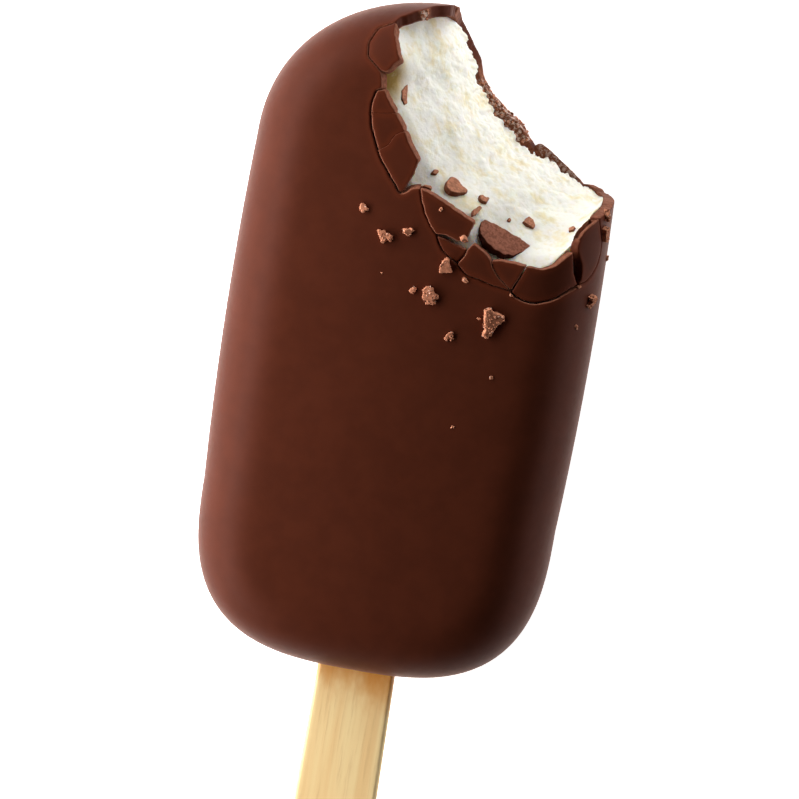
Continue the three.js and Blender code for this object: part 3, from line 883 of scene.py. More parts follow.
def half_coating(skin, path, spacing):
    line, owners = joined(path)
    line = np.vstack([LINES[path.split()[0]][:1], line])[::-1]
    owners = np.concatenate([owners[:1], owners])[::-1]
    setting = by_line(SET_BACK, owners, 0.0) * ramp(from_ends(line), *SET_BACK_START)
    crack = set_back(line, setting, False)
    owners = owners[nearest(crack, line)]
    first, last = stations(line[[0, -1]], INNER)
    reach = STICK_WIDTH / 2 + STICK_FIT
    slot_sides = np.array([STICK_OFF_CENTRE - reach, STICK_OFF_CENTRE + reach]) * STATIONS_PER_MM
    seam_left = skin.edge(last, STATIONS + slot_sides[0])
    seam_right = skin.edge(slot_sides[1], first)
    slot = slot_path(skin, slot_sides, seam_left[-1:], seam_right[:1])
    loop = np.vstack([crack, seam_left[1:-1], slot, seam_right[:-1]])
    wall = np.zeros(len(loop), bool)
    wall[: len(crack) - 1] = True
    slot_from = len(crack) + len(seam_left) - 2
    wall[slot_from : slot_from + len(slot)] = True
    pad = (0, len(loop) - len(crack))
    return plate_mesh(
        skin, loop, wall, spacing,
        slope=np.pad(by_line(RIM_SLOPES, owners, 0.0), pad),
        flare=np.pad(by_line(RIM_FLARES, owners, 0.0), pad),
        torn=np.pad(torn_along("coating", skin, crack, owners), pad),
    )


halves = [half_coating(FRONT, CRACK_PATH, FRONT_SPACING), half_coating(BACK, BACK_PATH, BACK_SPACING)]
coating = mesh_object("chocolate_coating", *gathered(halves), COATING_FINISH)
finish_piece(coating, "chocolate", "coating")

# %% The cracked plates
# Each plate by the lines round it, its turns about X and Y in degrees, its lift, and the slope of its rim
PLATES = {
    "front_shard_1": ("s1_outer s1_rim", (1.0, -4.0), 0.0, 0.2),
    "front_shard_2": ("s2a_outer s2_cut1 s2a_rim s2_top", (0, 4.0), -0.1, 0.4),
    "front_shard_3": ("s2b_outer s2_cut2 s2b_rim -s2_cut1", (0, 4.0), -0.1, 0.4),
    "front_shard_4": ("s2c_outer s2c_side s2c_rim -s2_cut2", (1.0, 2.0), -0.03, 0.35),
    "front_shard_5": ("s4_left s4_low s4_side s4_rim", (-1.0, 0.5), 0.22, 0.25),
    "front_shard_6": ("s5_top s56 s5_low", (1.0, 1.0), -0.06, 0.3),
    "front_shard_7": ("s6_left s56 s6_low -s67 s6_rim", (1.0, 0.5), 0.14, 0.15),
    "front_shard_8": ("s7_rim s67 -s78", (1.5, -2.0), 0.06, 0.1),
    "front_shard_9": ("s78 s8_low -s8_right s8_rim", (3.5, 1.0), -0.04, -0.1),
    "front_shard_10": ("s9_left s9_right s9_rim", (0, -2.0), 0.05, -0.7),
    "back_shard": ("b3_rim b3_inner", (-4.0, 1.0), 0.05, 0.5),
}
PLATE_GAP = 0.03
PLATE_SPACING = 0.5
# Wider gaps, and cracks so fine that they part nothing
GAPS = {
    "s2_cut1": 0.0, "s2_cut2": 0.0, "s4_low": 0.1, "s5_top": 0.08, "s56": 0.05, "s78": 0.05,
    "s8_right": 0.14, "s9_left": 0.2, "s9_right": 0.08,
}
FINE_LIPS = {"s2_cut1": 0.25, "s2_cut2": 0.3, "s67": 0.7}


def smoothed(values, times=3):
    for _ in range(times):
        values = (np.roll(values, 1) + 2 * values + np.roll(values, -1)) / 4
    return values


def area(loop):
    """The area inside a loop, which is positive where it runs anticlockwise."""
    after = np.roll(loop, -1, 0)
    return (loop[:, 0] * after[:, 1] - after[:, 0] * loop[:, 1]).sum() / 2


def cracked_plate(node, names, turns, lift, slope):
    """One plate. The length of its list of lines is its seed, so that each breaks in its own way."""
    loop, owners = joined(names)
    if area(loop) < 0:
        loop, owners = loop[::-1], owners[::-1]
    skin = BACK if node == "back_shard" else FRONT
    cut = set_back(loop, by_line(GAPS, owners, PLATE_GAP), True)
    owners = owners[nearest(cut, loop)]
    slopes = smoothed(slope * np.array([owner.endswith("_rim") for owner in owners]))
    shard_points, shard_faces, torn = plate_mesh(
        skin, cut, np.ones(len(cut), bool), PLATE_SPACING, seed=len(names), slope=slopes,
        lip=smoothed(by_line(FINE_LIPS, owners, 1.0)), torn=smoothed(torn_along(node, skin, cut, owners), 6))
    middle = shard_points[: len(cut)].mean(0)
    turn = Matrix.Rotation(math.radians(turns[0]), 3, "X") @ Matrix.Rotation(math.radians(turns[1]), 3, "Y")
    shard_points = (shard_points - middle) @ np.array(turn).T + middle + [0, 0, lift * skin.up]
    piece = mesh_object(node + "_plate", shard_points, shard_faces, torn, COATING_FINISH)
    return finish_piece(piece, "chocolate", node)


plates = [cracked_plate(node, *values) for node, values in PLATES.items()]

# %% [markdown]
# ## The ice cream
# The ice cream fills the shell, and the bite left a slope on it: from the rim of the front coating it leans
# out and down to the coating of the back, which stands a little proud as a ledge. The slope is smooth under
# the front rim, lumpy in the middle, and torn into fine teeth along the back. A dense tool with that relief
# is cut from the core with a Boolean that keeps the core closed.

# %% The slope of the bite
BITE_CENTRE = np.array([18, 40])
BEYOND_THE_BAR = [(60, 40), (18, 80)]
BITE_LEAN = 1.8
BACK_LEDGE = 0.4
LEDGE_FADE = (24, 15)
BITE_COLUMNS = 430
BITE_LEVELS = 175
BITE_BELOW, BITE_ABOVE = -1, 2
# The rim of the bite at the front face and, pair by pair, at the back
FRONT_RIM = np.array([
    (-5.5, 54), (-8.2, 42.8), (-7.5, 37.8), (-9, 33.9), (-6.2, 29.3), (-3.2, 24), (-0.6, 20.9), (5.2, 17.6),
    (8.5, 13.4), (13.5, 12.1), (17.6, 13), (20.8, 15.8), (22.4, 20), (24.6, 24), (31, 26)])
BACK_RIM = np.array([
    (-1.5, 54), (-0.6, 46), (1.8, 40.8), (3.3, 36.9), (5.3, 34), (8.5, 31.4), (11.2, 29.1), (14.8, 27.9),
    (18, 26.1), (20.2, 25.2), (21.6, 25), (22.8, 24.9), (23.6, 24.8), (24.6, 24.4), (31, 25)])


def through(knots, count, steps=30):
    """An evenly stepped centripetal curve through the knots."""
    knots = np.vstack([2 * knots[0] - knots[1], knots, 2 * knots[-1] - knots[-2]])
    gaps = np.linalg.norm(np.diff(knots, axis=0), axis=1) ** 0.5
    t = np.linspace(0, 1, steps, endpoint=False)[:, None]
    parts = []
    for k in range(1, len(knots) - 2):
        a, b, c, d = knots[k - 1 : k + 3]
        before, here, after = gaps[k - 1 : k + 2]
        leave = here * ((b - a) / before - (c - a) / (before + here) + (c - b) / here)
        arrive = here * ((c - b) / here - (d - b) / (here + after) + (d - c) / after)
        square, cube = 3 * (c - b) - 2 * leave - arrive, 2 * (b - c) + leave + arrive
        parts.append(b + leave * t + square * t**2 + cube * t**3)
    return resampled(np.vstack([*parts, knots[-2:-1]]), count)


def bite_rim(height, count):
    share = np.clip(height / THICKNESS, 0, 1) ** BITE_LEAN
    return through(BACK_RIM + (FRONT_RIM - BACK_RIM) * share, count)


def bite_frame(along, height):
    """A place on the slope, and the directions along the rim, down the slope and out of it."""
    count, reach, step = 1001, 10, 0.01
    places = np.column_stack([bite_rim(height, count), np.full(count, height)])
    lower = np.column_stack([bite_rim(height - step, count), np.full(count, height - step)])
    here = round(along * (count - 1))
    side = places[here + reach] - places[here]
    side /= np.linalg.norm(side)
    down = lower[here] - places[here]
    out = np.cross(side, down / np.linalg.norm(down))
    out /= np.linalg.norm(out)
    return places[here], side, np.cross(out, side), out


# %% The torn relief
# How much the relief changes with the height, next to its change over the plan
RELIEF_DRIFT = 0.1
# Each kind of unevenness: its size, how many cells it has to the millimetre, and its name among the seeds
SCOOPS = (0.34, 0.16, "scoops")
LUMPS = (0.2, 0.6, "lumps")
CURDS = (0.18, 1.2, "curds")
CURD_RISE = 0.07
TEETH = (0.4, 0.9, "teeth")
FINE_TEETH = (0.3, 2, "fine_teeth")
# The heights between which the lumps, the curds and the teeth fade out, and the digging under the rim begins
LUMPS_FADE = (15, 22.5)
LUMPS_FADED = 0.8
CURDS_FADE = (7, 15)
CURDS_FADED = 0.5
TEETH_FADE = (1, 8)
UNDERCUT = 1.5
UNDERCUT_FADE = (21.5, 24)
# Where the ice cream is dug out more, or less than nothing: place in plan, reach and how far
HOLLOWS = [((-6.4, 42.4), 2.8, 1.9), ((-1.9, 22.4), 1.7, 1.5), ((10.4, 14.4), 0.7, -0.7)]


def tear(rim, height):
    """How far the slope is pushed into the bar, in millimetres, at each point of the rim at one height."""
    places = (rim - RELIEF_DRIFT * height).T

    def uneven(size, cells, seed):
        return size * field(*places * cells, SEEDS[seed], 2)

    lumpy = 1 - LUMPS_FADED * ramp(height, *LUMPS_FADE)
    curds = (CURD_RISE - np.abs(uneven(*CURDS))) * (1 - CURDS_FADED * ramp(height, *CURDS_FADE))
    torn = 1 - ramp(height, *TEETH_FADE)
    teeth = uneven(*TEETH) + uneven(*FINE_TEETH)
    undercut = UNDERCUT * ramp(height, *UNDERCUT_FADE)
    relief = uneven(*SCOOPS) + lumpy * (uneven(*LUMPS) + curds) + torn * teeth + undercut
    for place, reach, dug in HOLLOWS:
        away = np.linalg.norm(rim - place, axis=1)
        relief = relief + dug * np.exp(-((away / reach) ** 2))
    return relief


def bite_tool():
    """What the bite took away, from below the bar to above it."""
    heights = BITE_BELOW + (THICKNESS + BITE_ABOVE - BITE_BELOW) * np.linspace(0, 1, BITE_LEVELS)
    rings = []
    for height in heights:
        rim = bite_rim(height, BITE_COLUMNS)
        away = rim - BITE_CENTRE
        reach = np.linalg.norm(away, axis=1)
        ledge = BACK_LEDGE * np.clip(1 - height / THICKNESS, 0, 1) * ramp(rim[:, 0], *LEDGE_FADE)
        pushed = reach + ledge + tear(rim, height)
        ring = np.vstack([BITE_CENTRE + away * (pushed / reach)[:, None], BEYOND_THE_BAR])
        rings.append(np.column_stack([ring, np.full(len(ring), height)]))
    size = len(rings[0])
    faces = [list(range(size))[::-1], [size * (len(rings) - 1) + i for i in range(size)]]
    for level in range(len(rings) - 1):
        low, high = level * size, (level + 1) * size
        faces += [[low + i, low + (i + 1) % size, high + (i + 1) % size, high + i] for i in range(size)]
    return mesh_object("bite_tool", np.vstack(rings), faces)


# %% Cutting one closed mesh from another


def applied(piece):
    """The piece with its modifiers made into its mesh."""
    graph = bpy.context.evaluated_depsgraph_get()
    mesh = bpy.data.meshes.new_from_object(piece.evaluated_get(graph))
    piece.modifiers.clear()
    piece.data = mesh
    print(f"   {piece.name}: {len(mesh.polygons)} faces after its modifiers")
    return piece


def carved(piece, *tools):
    """The piece less the tools, which are then deleted."""
    for tool in tools:
        cut = piece.modifiers.new("cut", "BOOLEAN")
        cut.operation, cut.solver, cut.object = "DIFFERENCE", "MANIFOLD", tool
    applied(piece)
    for tool in tools:
        bpy.data.objects.remove(tool)
    return piece


def turned_outwards(piece):
    work = bmesh.new()
    work.from_mesh(piece.data)
    bmesh.ops.recalc_face_normals(work, faces=work.faces)
    work.to_mesh(piece.data)
    work.free()
    return piece


# %% The core
CORE_PARE = COATING + 0.02
CORE_SPACING = 1.2


def core_half(skin):
    loop = skin.edge(0, STATIONS)[:-1]
    grid = grid_over(loop, CORE_SPACING)
    grid = grid[inside(grid, loop)]
    grid = grid[distance_to(grid, loop, np.roll(loop, -1, 0)) > SEAM_CLEAR * CORE_SPACING]
    flat, faces = filled(loop, grid)
    return skin.lay(flat, CORE_PARE), [face if skin.up > 0 else face[::-1] for face in faces], []


def core():
    points, faces, _ = gathered([core_half(FRONT), core_half(BACK)])
    return mesh_object("vanilla_ice_cream", points, faces)


# %% [markdown]
# ## The stick
# A birch stick is stamped flat, 2 mm thick, with rounded long edges and a round end, and swells a little
# towards the end that is held. Sixty millimetres of it are frozen into the bar.

# %% Stick sizes
STICK_TIP_WIDTH = 12.5
STICK_BURIED = 60
STICK_EXPOSED = 50
STICK_END_STEPS = 40
STICK_STEPS = 900
SLOT_MARGIN = 0.04


def stick_loop(margin=0.0):
    """The stick's outline, anticlockwise, larger by a margin: straight in the bar, then flaring."""
    half, tip = STICK_WIDTH / 2 + margin, STICK_TIP_WIDTH / 2 + margin
    buried = STICK_EXIT + STICK_BURIED - STICK_WIDTH / 2
    free = STICK_EXIT - STICK_EXPOSED + STICK_TIP_WIDTH / 2
    turn = np.linspace(0, math.pi, STICK_END_STEPS)
    top = np.column_stack([half * np.cos(turn), buried + half * np.sin(turn)])
    bottom = np.column_stack([-tip * np.cos(turn), free - tip * np.sin(turn)])
    left, right = [(-half, STICK_EXIT)], [(half, STICK_EXIT)]
    loop = np.vstack([top, left, bottom, right, top[:1]]) + [STICK_OFF_CENTRE, 0]
    return resampled(loop, STICK_STEPS)[:-1]


def stick_rows(loop, insets, heights):
    """A closed slab from rows of its outline, each set in and at its own height, and flat faces."""
    out = outward(loop)
    rows = [np.column_stack([loop - out * inset, np.full(len(loop), z)]) for inset, z in zip(insets, heights)]
    size = len(loop)
    faces = [list(range(size)), [size * (len(rows) - 1) + i for i in range(size)][::-1]]
    for level in range(len(rows) - 1):
        high, low = level * size, (level + 1) * size
        faces += [[high + i, low + i, low + (i + 1) % size, high + (i + 1) % size] for i in range(size)]
    return np.vstack(rows), faces


def slot_tool():
    half = STICK_THICKNESS / 2 + SLOT_MARGIN
    points, faces = stick_rows(stick_loop(SLOT_MARGIN), (0, 0), (MIDDLE + half, MIDDLE - half))
    return turned_outwards(mesh_object("slot_tool", points, faces))


# %% The loose flake
# Its corners are about a place on the slope: along the rim, and down the slope.
FLAKE = np.array([
    (-3.3, 0.3), (-3.2, -0.4), (-2.2, -1.9), (-0.7, -2.4), (0.8, -2.5), (2.1, -2.2), (3.2, -1.2), (3.9, 0.4),
    (4.3, 2.2), (2.2, 2.1), (0.7, 1.5), (-1.4, 1.2), (-2.6, 0.8)])
FLAKE_PLACE = (0.64, 21.4)
FLAKE_THICKNESS = 1.1
FLAKE_RISE = 0.7
FLAKE_STEP = 0.16
SEAT_MARGIN = 0.03
BOARD_BEND = 0.012
# A chip's edge: its unevenness, its least number of points, and its inner grid next to its step
CHIP_JAG = 0.09
CHIP_CELLS = 1.5
CHIP_FIELD = 20
CHIP_LEAST = 14
CHIP_GRID = 2.3
CHIP_ROUGH = 0.08


class Board:
    """A nearly flat plate on the slope, used as a skin is. Its top stands out by rise."""

    up = 1

    def __init__(self, directions, rise):
        self.place, self.side, self.down, self.out = directions
        self.rise = rise

    def lay(self, sheet, depth=0.0):
        sheet = np.atleast_2d(sheet)
        bend = BOARD_BEND * sheet[:, 0] ** 2
        height = (self.rise - bend - depth)[:, None]
        return self.place + sheet[:, :1] * self.side + sheet[:, 1:] * self.down + self.out * height


def chip_mesh(directions, corners, rise, thickness, margin=0.0, step=0.13, seed=17):
    """Vertices, faces and brokenness of a broken bit of coating, by its place and directions."""
    corners = np.array(corners)
    round_it = np.vstack([corners, corners[:1]])
    loop = resampled(round_it, max(CHIP_LEAST, round(run_along(round_it)[-1] / step)))[:-1]
    loop = (np.roll(loop, 1, 0) + 6 * loop + np.roll(loop, -1, 0)) / 8
    if area(loop) < 0:
        loop = loop[::-1]
    size = min(1, 0.5 * area(loop) ** 0.5)
    jag = CHIP_JAG * size * field(*loop.T * CHIP_CELLS + CHIP_FIELD, SEEDS["chips"], 3)
    loop = loop + outward(loop) * (jag + margin)[:, None]
    return plate_mesh(
        Board(directions, rise + margin), loop, np.ones(len(loop), bool), CHIP_GRID * step,
        thickness + 2 * margin, CHIP_ROUGH, seed, slope=CHIP_ROUGH,
        lip=min(0.8, 0.3 * np.ptp(corners, axis=0).min()))


def flake_mesh(margin=0.0):
    """The flake, which lies with its grainy side up, so its face is pale. Its walls and the edge of its face
    are dark, partly the chocolate's own colour and partly painted shade.
    """
    points, faces, torn = chip_mesh(
        bite_frame(*FLAKE_PLACE), FLAKE, FLAKE_RISE, FLAKE_THICKNESS, margin, FLAKE_STEP)
    return points, faces, 1 - torn


# %% Carving the ice cream
SHARP_FROM = math.radians(60)
seat_tool = mesh_object("seat_tool", *flake_mesh(SEAT_MARGIN)[:2])
ice_cream = carved(core(), turned_outwards(bite_tool()), slot_tool(), turned_outwards(seat_tool))
ice_cream.data.shade_smooth()
ice_cream.data.set_sharp_from_angle(angle=SHARP_FROM)

# %% Ice cream finish
# The valley beside the rim, where the cream is painted a dark olive yellow as painted shade, and how far that
# painted shade reaches
VALLEY_SHADE_PLACE = tuple(part * MM for part in (-7.4, 35.4, 22.6))
VALLEY_SHADE_REACH = (1.0 * MM, 4.2 * MM)
STREAK_SLANT = math.radians(30)


def ice_cream_finish():
    """Moist, slightly see-through vanilla, with yellower streaks, painted olive shade in the valley at the
    rim, and darker yellow in its hollows that is partly painted shade.
    """
    material, shader, place = new_finish(
        "vanilla", Roughness=0.5, IOR=1.3, Subsurface_Weight=0.5, Subsurface_Scale=0.8 * MM,
        Subsurface_Radius=(1, 0.8, 0.55), Specular_IOR_Level=0.4)
    slanted = place.node("ShaderNodeMapping", Vector=place, Rotation=(0, 0, STREAK_SLANT))
    streaks = slanted.stretched(0.75, 1, 1).noise(0.34 * PER_MM, 3, 0.55)
    mottle = place.noise(1.3 * PER_MM, 3, 0.6)
    fluff = place.noise(1.2 * PER_MM, 4, 0.6)
    painted_shade_in_valley = place.node("ShaderNodeVectorMath", {"operation": "DISTANCE"}, 1, _0=place, _1=VALLEY_SHADE_PLACE)
    yellow = (streaks * 0.75 + mottle * 0.25).ramp(0.48, 0.66)
    cream = mixed(yellow, colour(252, 248, 237), colour(241, 228, 190))
    # Painted shade: the cream turns dark olive yellow near the valley beside the rim
    shaded = cream.blend(painted_shade_in_valley.ramp(*VALLEY_SHADE_REACH, 1.0, 0), colour(172, 140, 74))
    # Where the bump is low the cream turns a darker yellow: partly the cream's own tone, partly painted shade
    # in the hollows
    feed(shader, Base_Color=shaded.blend(fluff.ramp(0.3, 0.5, 0.4, 0), colour(230, 218, 178)))
    feed(shader, Normal=bumped(fluff, 0.3, 0.38))
    return material


VANILLA_FINISH = ice_cream_finish()
ice_cream.data.materials.clear()
ice_cream.data.materials.append(VANILLA_FINISH)
finish_piece(ice_cream, "ice_cream", "ice_cream")

# %% The flake's own mesh
FLAKE_FINISH = chocolate("flake_chocolate", colour(70, 34, 22), colour(152, 96, 76), 0.5)
flake = mesh_object("flake_on_ice", *flake_mesh(), FLAKE_FINISH)
finish_piece(flake, "chocolate", "loose_flake")

# %% Chips that stuck to the ice cream
CHIP_STEP = 0.09
# How far the chips' walls and face edges are darkened: partly the chocolate's own colour, partly painted
# shade
WALL_PAINTED_SHADE = 0.6
# Each by its place along the rim and its height, its corners about that place, its rise and its thickness
CHIPS = [
    ((0.509, 20.7), [(-1.1, 0.5), (-0.1, 0.7), (0.7, 0.3), (1.7, 0.1), (1.7, -0.6), (0.8, -1.7), (0, -2.2),
        (-0.9, -1.7), (-1.2, -0.9)], 0.55, 0.9),
    ((0.569, 19.7), [(-0.5, -0.5), (-0.3, -0.1), (0.3, 0), (0.4, 0.3), (0.7, 0.3), (0.8, -0.7), (0.3, -1.1),
        (-0.2, -1)], 0.3, 0.6),
    ((0.57, 21.7), [(0.3, -1.5), (-0.1, -0.9), (-0.2, 0.6), (0.2, 0.7), (0.3, 0.3), (0.4, -0.9)], 0.25, 0.5),
    ((0.461, 21.5), [(0, -0.9), (-0.3, -0.2), (0, 0.3), (0.3, 0.2), (0.4, -0.4)], 0.25, 0.5),
    ((0.645, 18.7), [(0, -0.4), (-0.15, 0.2), (0.15, 0.2), (0.3, -0.2)], 0.15, 0.3),
    ((0.688, 16.8), [(-0.6, -1.2), (-0.3, 0.3), (0.5, 0.2), (1, -0.6), (1.1, -1.3), (0.3, -1.3)], 0.4, 0.8),
    ((0.304, 20.7), [(-0.7, -0.5), (-1.4, 1.2), (1.1, -0.4), (1.2, -1.1), (0.4, -1.1)], 0.2, 0.5),
    ((0.44, 22.6), [(2.1, -2.1), (2.2, -1.4), (2.6, -0.7), (3.1, -0.8), (2.9, -1.2)], 0.35, 0.6),
    ((0.789, 17.4), [(-0.5, -0.4), (-0.4, 0.4), (0.3, 0.5), (0.5, -0.1), (0.1, -0.6)], 0.4, 0.7),
]


chip_points, chip_faces, chip_torn = gathered([
    chip_mesh(bite_frame(*place), corners, rise, thickness, step=CHIP_STEP, seed=number)
    for number, (place, corners, rise, thickness) in enumerate(CHIPS)])
CHIP_FINISH = chocolate("chip_chocolate", colour(84, 40, 24), colour(184, 124, 96), 0.5)
chip_broken = 1 - WALL_PAINTED_SHADE * chip_torn
chips = mesh_object("chips_on_ice", chip_points, chip_faces, chip_broken, CHIP_FINISH)
finish_piece(chips, "chocolate")

# %% [markdown]
# ## Crumbs
# A brittle shell also throws crumbs, which are small, pale and grainy all over, as they are broken on every
# side. Their flat bodies are drawn like the plates, each by its corners. Geometry Nodes then strew grains on
# them, and along the torn edge of the back, where dark and frosted grains lie mixed.

# %% The grain tree
# The least and greatest brokenness of a grain, and its least and greatest width next to the grain size
GRAIN_BROKEN = (0.2, 1.9)
GRAIN_SPREAD = (0.5, 1.4)
GRAIN_LUMPS = 4.1


def grain_inputs(tree):
    """The inputs of the grain tree: the body, four settings and the starting number, each on a wire."""
    face = tree.interface
    face.new_socket("Geometry", in_out="INPUT", socket_type="NodeSocketGeometry")
    for name in ("Threshold", "Grain Size", "Grains per Square Metre"):
        face.new_socket(name, in_out="INPUT", socket_type="NodeSocketFloat")
    face.new_socket("Keep Body", in_out="INPUT", socket_type="NodeSocketBool")
    face.new_socket("Seed", in_out="INPUT", socket_type="NodeSocketInt")
    face.new_socket("Geometry", in_out="OUTPUT", socket_type="NodeSocketGeometry")
    given = tree.nodes.new("NodeGroupInput")
    return [Wire(tree, socket) for socket in given.outputs[:6]]


def grain_tree(material):
    """Grains where the attribute broken is over a threshold, with or without the body that they lie on."""
    tree = bpy.data.node_groups.new("grains", "GeometryNodeTree")
    body, threshold, grain_size, density, keep_body, seed = grain_inputs(tree)
    broken = body.node("GeometryNodeInputNamedAttribute", Name="broken")
    is_rough = broken.node("FunctionNodeCompare", {"operation": "GREATER_THAN"}, _0=broken, _1=threshold)
    spread = body.node("GeometryNodeDistributePointsOnFaces", Mesh=body, Selection=is_rough, Density=density,
                       Seed=seed)
    shade = seed.node("FunctionNodeRandomValue", {"data_type": "FLOAT"}, 1, _2=GRAIN_BROKEN[0],
                      _3=GRAIN_BROKEN[1], _8=seed + 1)
    shaded = spread.node("GeometryNodeStoreNamedAttribute", Geometry=spread, Name="broken", Value=shade)
    turn = seed.node("FunctionNodeRandomValue", {"data_type": "FLOAT_VECTOR"}, _1=(math.tau,) * 3,
                     _8=seed + 2)
    width = seed.node("FunctionNodeRandomValue", {"data_type": "FLOAT"}, 1, _2=GRAIN_SPREAD[0],
                      _3=GRAIN_SPREAD[1], _8=seed + 3)
    bit = body.node("GeometryNodeMeshIcoSphere", Radius=0.5, Subdivisions=1)
    placed = shaded.node("GeometryNodeInstanceOnPoints", Points=shaded, Instance=bit, Rotation=turn,
                         Scale=width * grain_size)
    real = placed.node("GeometryNodeRealizeInstances", Geometry=placed)
    where = real.node("GeometryNodeInputPosition")
    bumps = where.node("ShaderNodeTexNoise", {}, 1, Vector=where, Scale=GRAIN_LUMPS * PER_MM, Detail=1.0)
    centred = bumps.node("ShaderNodeVectorMath", {"operation": "SUBTRACT"}, _0=bumps, _1=(0.5, 0.5, 0.5))
    offset = bumps.node("ShaderNodeVectorMath", {"operation": "SCALE"}, _0=centred, Scale=grain_size)
    grains = real.node("GeometryNodeSetPosition", Geometry=real, Offset=offset)
    flat = grains.node("GeometryNodeSetShadeSmooth", Geometry=grains, Shade_Smooth=False)
    together = tree.nodes.new("GeometryNodeJoinGeometry")
    for part in (body, flat):
        tree.links.new(part.socket, together.inputs[0])
    chosen = flat.node("GeometryNodeSwitch", {"input_type": "GEOMETRY"}, Switch=keep_body, False_=flat,
                       True_=Wire(tree, together.outputs[0]))
    done = chosen.node("GeometryNodeSetMaterial", Geometry=chosen, Material=material)
    leave = tree.nodes.new("NodeGroupOutput")
    tree.links.new(done.socket, leave.inputs[0])
    return tree


def with_grains(name, mesh, material, **inputs):
    """A piece made by the grain tree on a mesh."""
    piece = bpy.data.objects.new(name, mesh)
    bpy.context.collection.objects.link(piece)
    grow = piece.modifiers.new("grow", "NODES")
    grow.node_group = grain_tree(material)
    for socket in grow.node_group.interface.items_tree:
        key = socket.name.replace(" ", "_").lower()
        if key in inputs:
            grow[socket.identifier] = inputs[key]
    return applied(piece)


# %% The crumbs, each by its place and its corners about it
# A place is (x, y) on the front face, or (x, y, height) where the skin is steep or plates stand out
CRUMBS = [
    ((-7.6, 17.7), [(-0.5, 0.6), (0.2, 0.5), (0.8, -0.2), (-0.1, -0.7), (-0.5, -0.3)]),
    ((-4.2, 14.5), [(-1.1, 0.7), (-0.6, 0.5), (-0.1, 0.8), (0.1, 0.4), (1.2, 0.1), (1, -0.7), (0.5, -0.4),
        (-0.2, -1.1), (-0.4, -0.6), (-0.9, 0)]),
    ((-1.1, 15.6), [(-0.8, 0.2), (0.2, 0.5), (0.8, 0.3), (0.3, -0.2), (0.1, -0.6), (-0.7, -0.3)]),
    ((4.6, 11.8), [(-0.3, 1), (0.3, 1.2), (0.5, 0.6), (1.1, -0.7), (0.2, -0.8), (-0.7, -1.1), (-0.7, 0)]),
    ((7.5, 10.4), [(-0.4, 0.3), (-0.1, 0.3), (0.5, -0.2), (0.2, -0.3), (-0.3, -0.1)]),
    ((0.7, 7.8), [(-0.3, 0.2), (0.2, 0.5), (0.5, 0.2), (0.1, -0.4), (-0.4, -0.2)]),
    ((3.3, 7.5), [(-1.2, 1), (-0.7, 1.4), (0, 1.1), (0.5, 0.5), (1.1, 0.2), (1.1, -0.2), (0.6, -0.3),
        (0.9, -1), (-0.2, -1.2), (-0.7, -0.9), (-1.1, -0.2)]),
    ((12, 5.3), [(-1.3, 1.8), (-0.7, 2.1), (0.3, 1.5), (1.6, 1.5), (1.9, 0.9), (1, -0.1), (0.4, -1),
        (0.2, -1.8), (-0.3, -2.4), (-1.1, -2.1), (-0.9, -1.1), (-1.2, 0.2)]),
    ((10.2, 5.6), [(-0.3, 0), (0, 0.1), (0.4, 0), (0.1, -0.2)]),
    ((6.7, 2.5), [(-0.1, 0.7), (0.3, 0.7), (0.5, 0), (0.3, -0.6), (0.1, 0.1), (-0.3, -0.6), (-0.7, -0.4),
        (-0.5, 0.2)]),
    ((2.7, 19.3), [(-0.2, -0.1), (0.1, 0.3), (0.3, 0), (0, -0.3)]),
    ((6.8, 15.4, 25.3), [(-0.5, 0.3), (-0.1, 0.7), (0.5, 0.2), (0.5, -0.3), (0.1, -0.5), (-0.4, -0.2)]),
    ((24.3, 10.1, 19.2), [(-0.4, 0.8), (0.8, 0.9), (1.1, 0.3), (0.5, -0.3), (0.1, -0.4), (-0.3, -0.9),
        (-1.1, -0.3), (-0.5, -0.2), (-0.1, 0.2)]),
    ((23.2, 6.5), [(-0.3, 0.1), (0, 0.3), (0.3, 0), (0, -0.3)]),
    ((22.7, 11.9), [(-0.5, -0.1), (0.2, 0.2), (0.3, 0.1), (-0.1, -0.3)]),
    ((14, 9.4), [(-0.3, 0.2), (0.2, 0), (0.3, -0.1), (-0.1, -0.1)]),
    ((24.8, 19.3, 18), [(-0.6, 0.9), (0.2, 1.3), (0.6, 0.3), (0.5, -0.9), (-0.1, -1.1), (-0.5, -0.2)]),
    ((24.4, 21.9, 18), [(-0.5, 0.9), (0.3, 0.2), (0.4, -0.9), (-0.2, -0.4)]),
    ((25.4, 16, 13), [(-0.3, 0.3), (0.4, 0.4), (0.5, -0.2), (-0.2, -0.5)]),
    ((-3.8, 9.4), [(-0.1, 0), (0.1, 0.15), (0.1, -0.15)]),
    ((13.2, -2), [(-0.2, 0.2), (0.2, 0.2), (0.2, -0.2), (-0.2, -0.3)]),
    ((9.1, -9.5), [(-0.15, 0.05), (0.1, 0.15), (0.15, -0.15), (-0.1, -0.15)]),
]
CRUMB_LEAN = 0.3
CRUMB_LEAN_SEED = 8
CRUMB_STEP = 0.1
CRUMB_THICKEST = 0.9
CRUMB_THICKNESS = 0.45
CRUMB_RISE = 0.75
# The bodies are drawn a little smaller than the crumbs, as grains make up the rest
PARED = 0.88
BODY_BROKEN = 0.45
ABOVE_ALL = 60


def surface_of(*pieces):
    vertices, faces = [], []
    for piece in pieces:
        faces += [[len(vertices) + i for i in face.vertices] for face in piece.data.polygons]
        vertices += [vertex.co / MM for vertex in piece.data.vertices]
    return BVHTree.FromPolygons(vertices, faces)


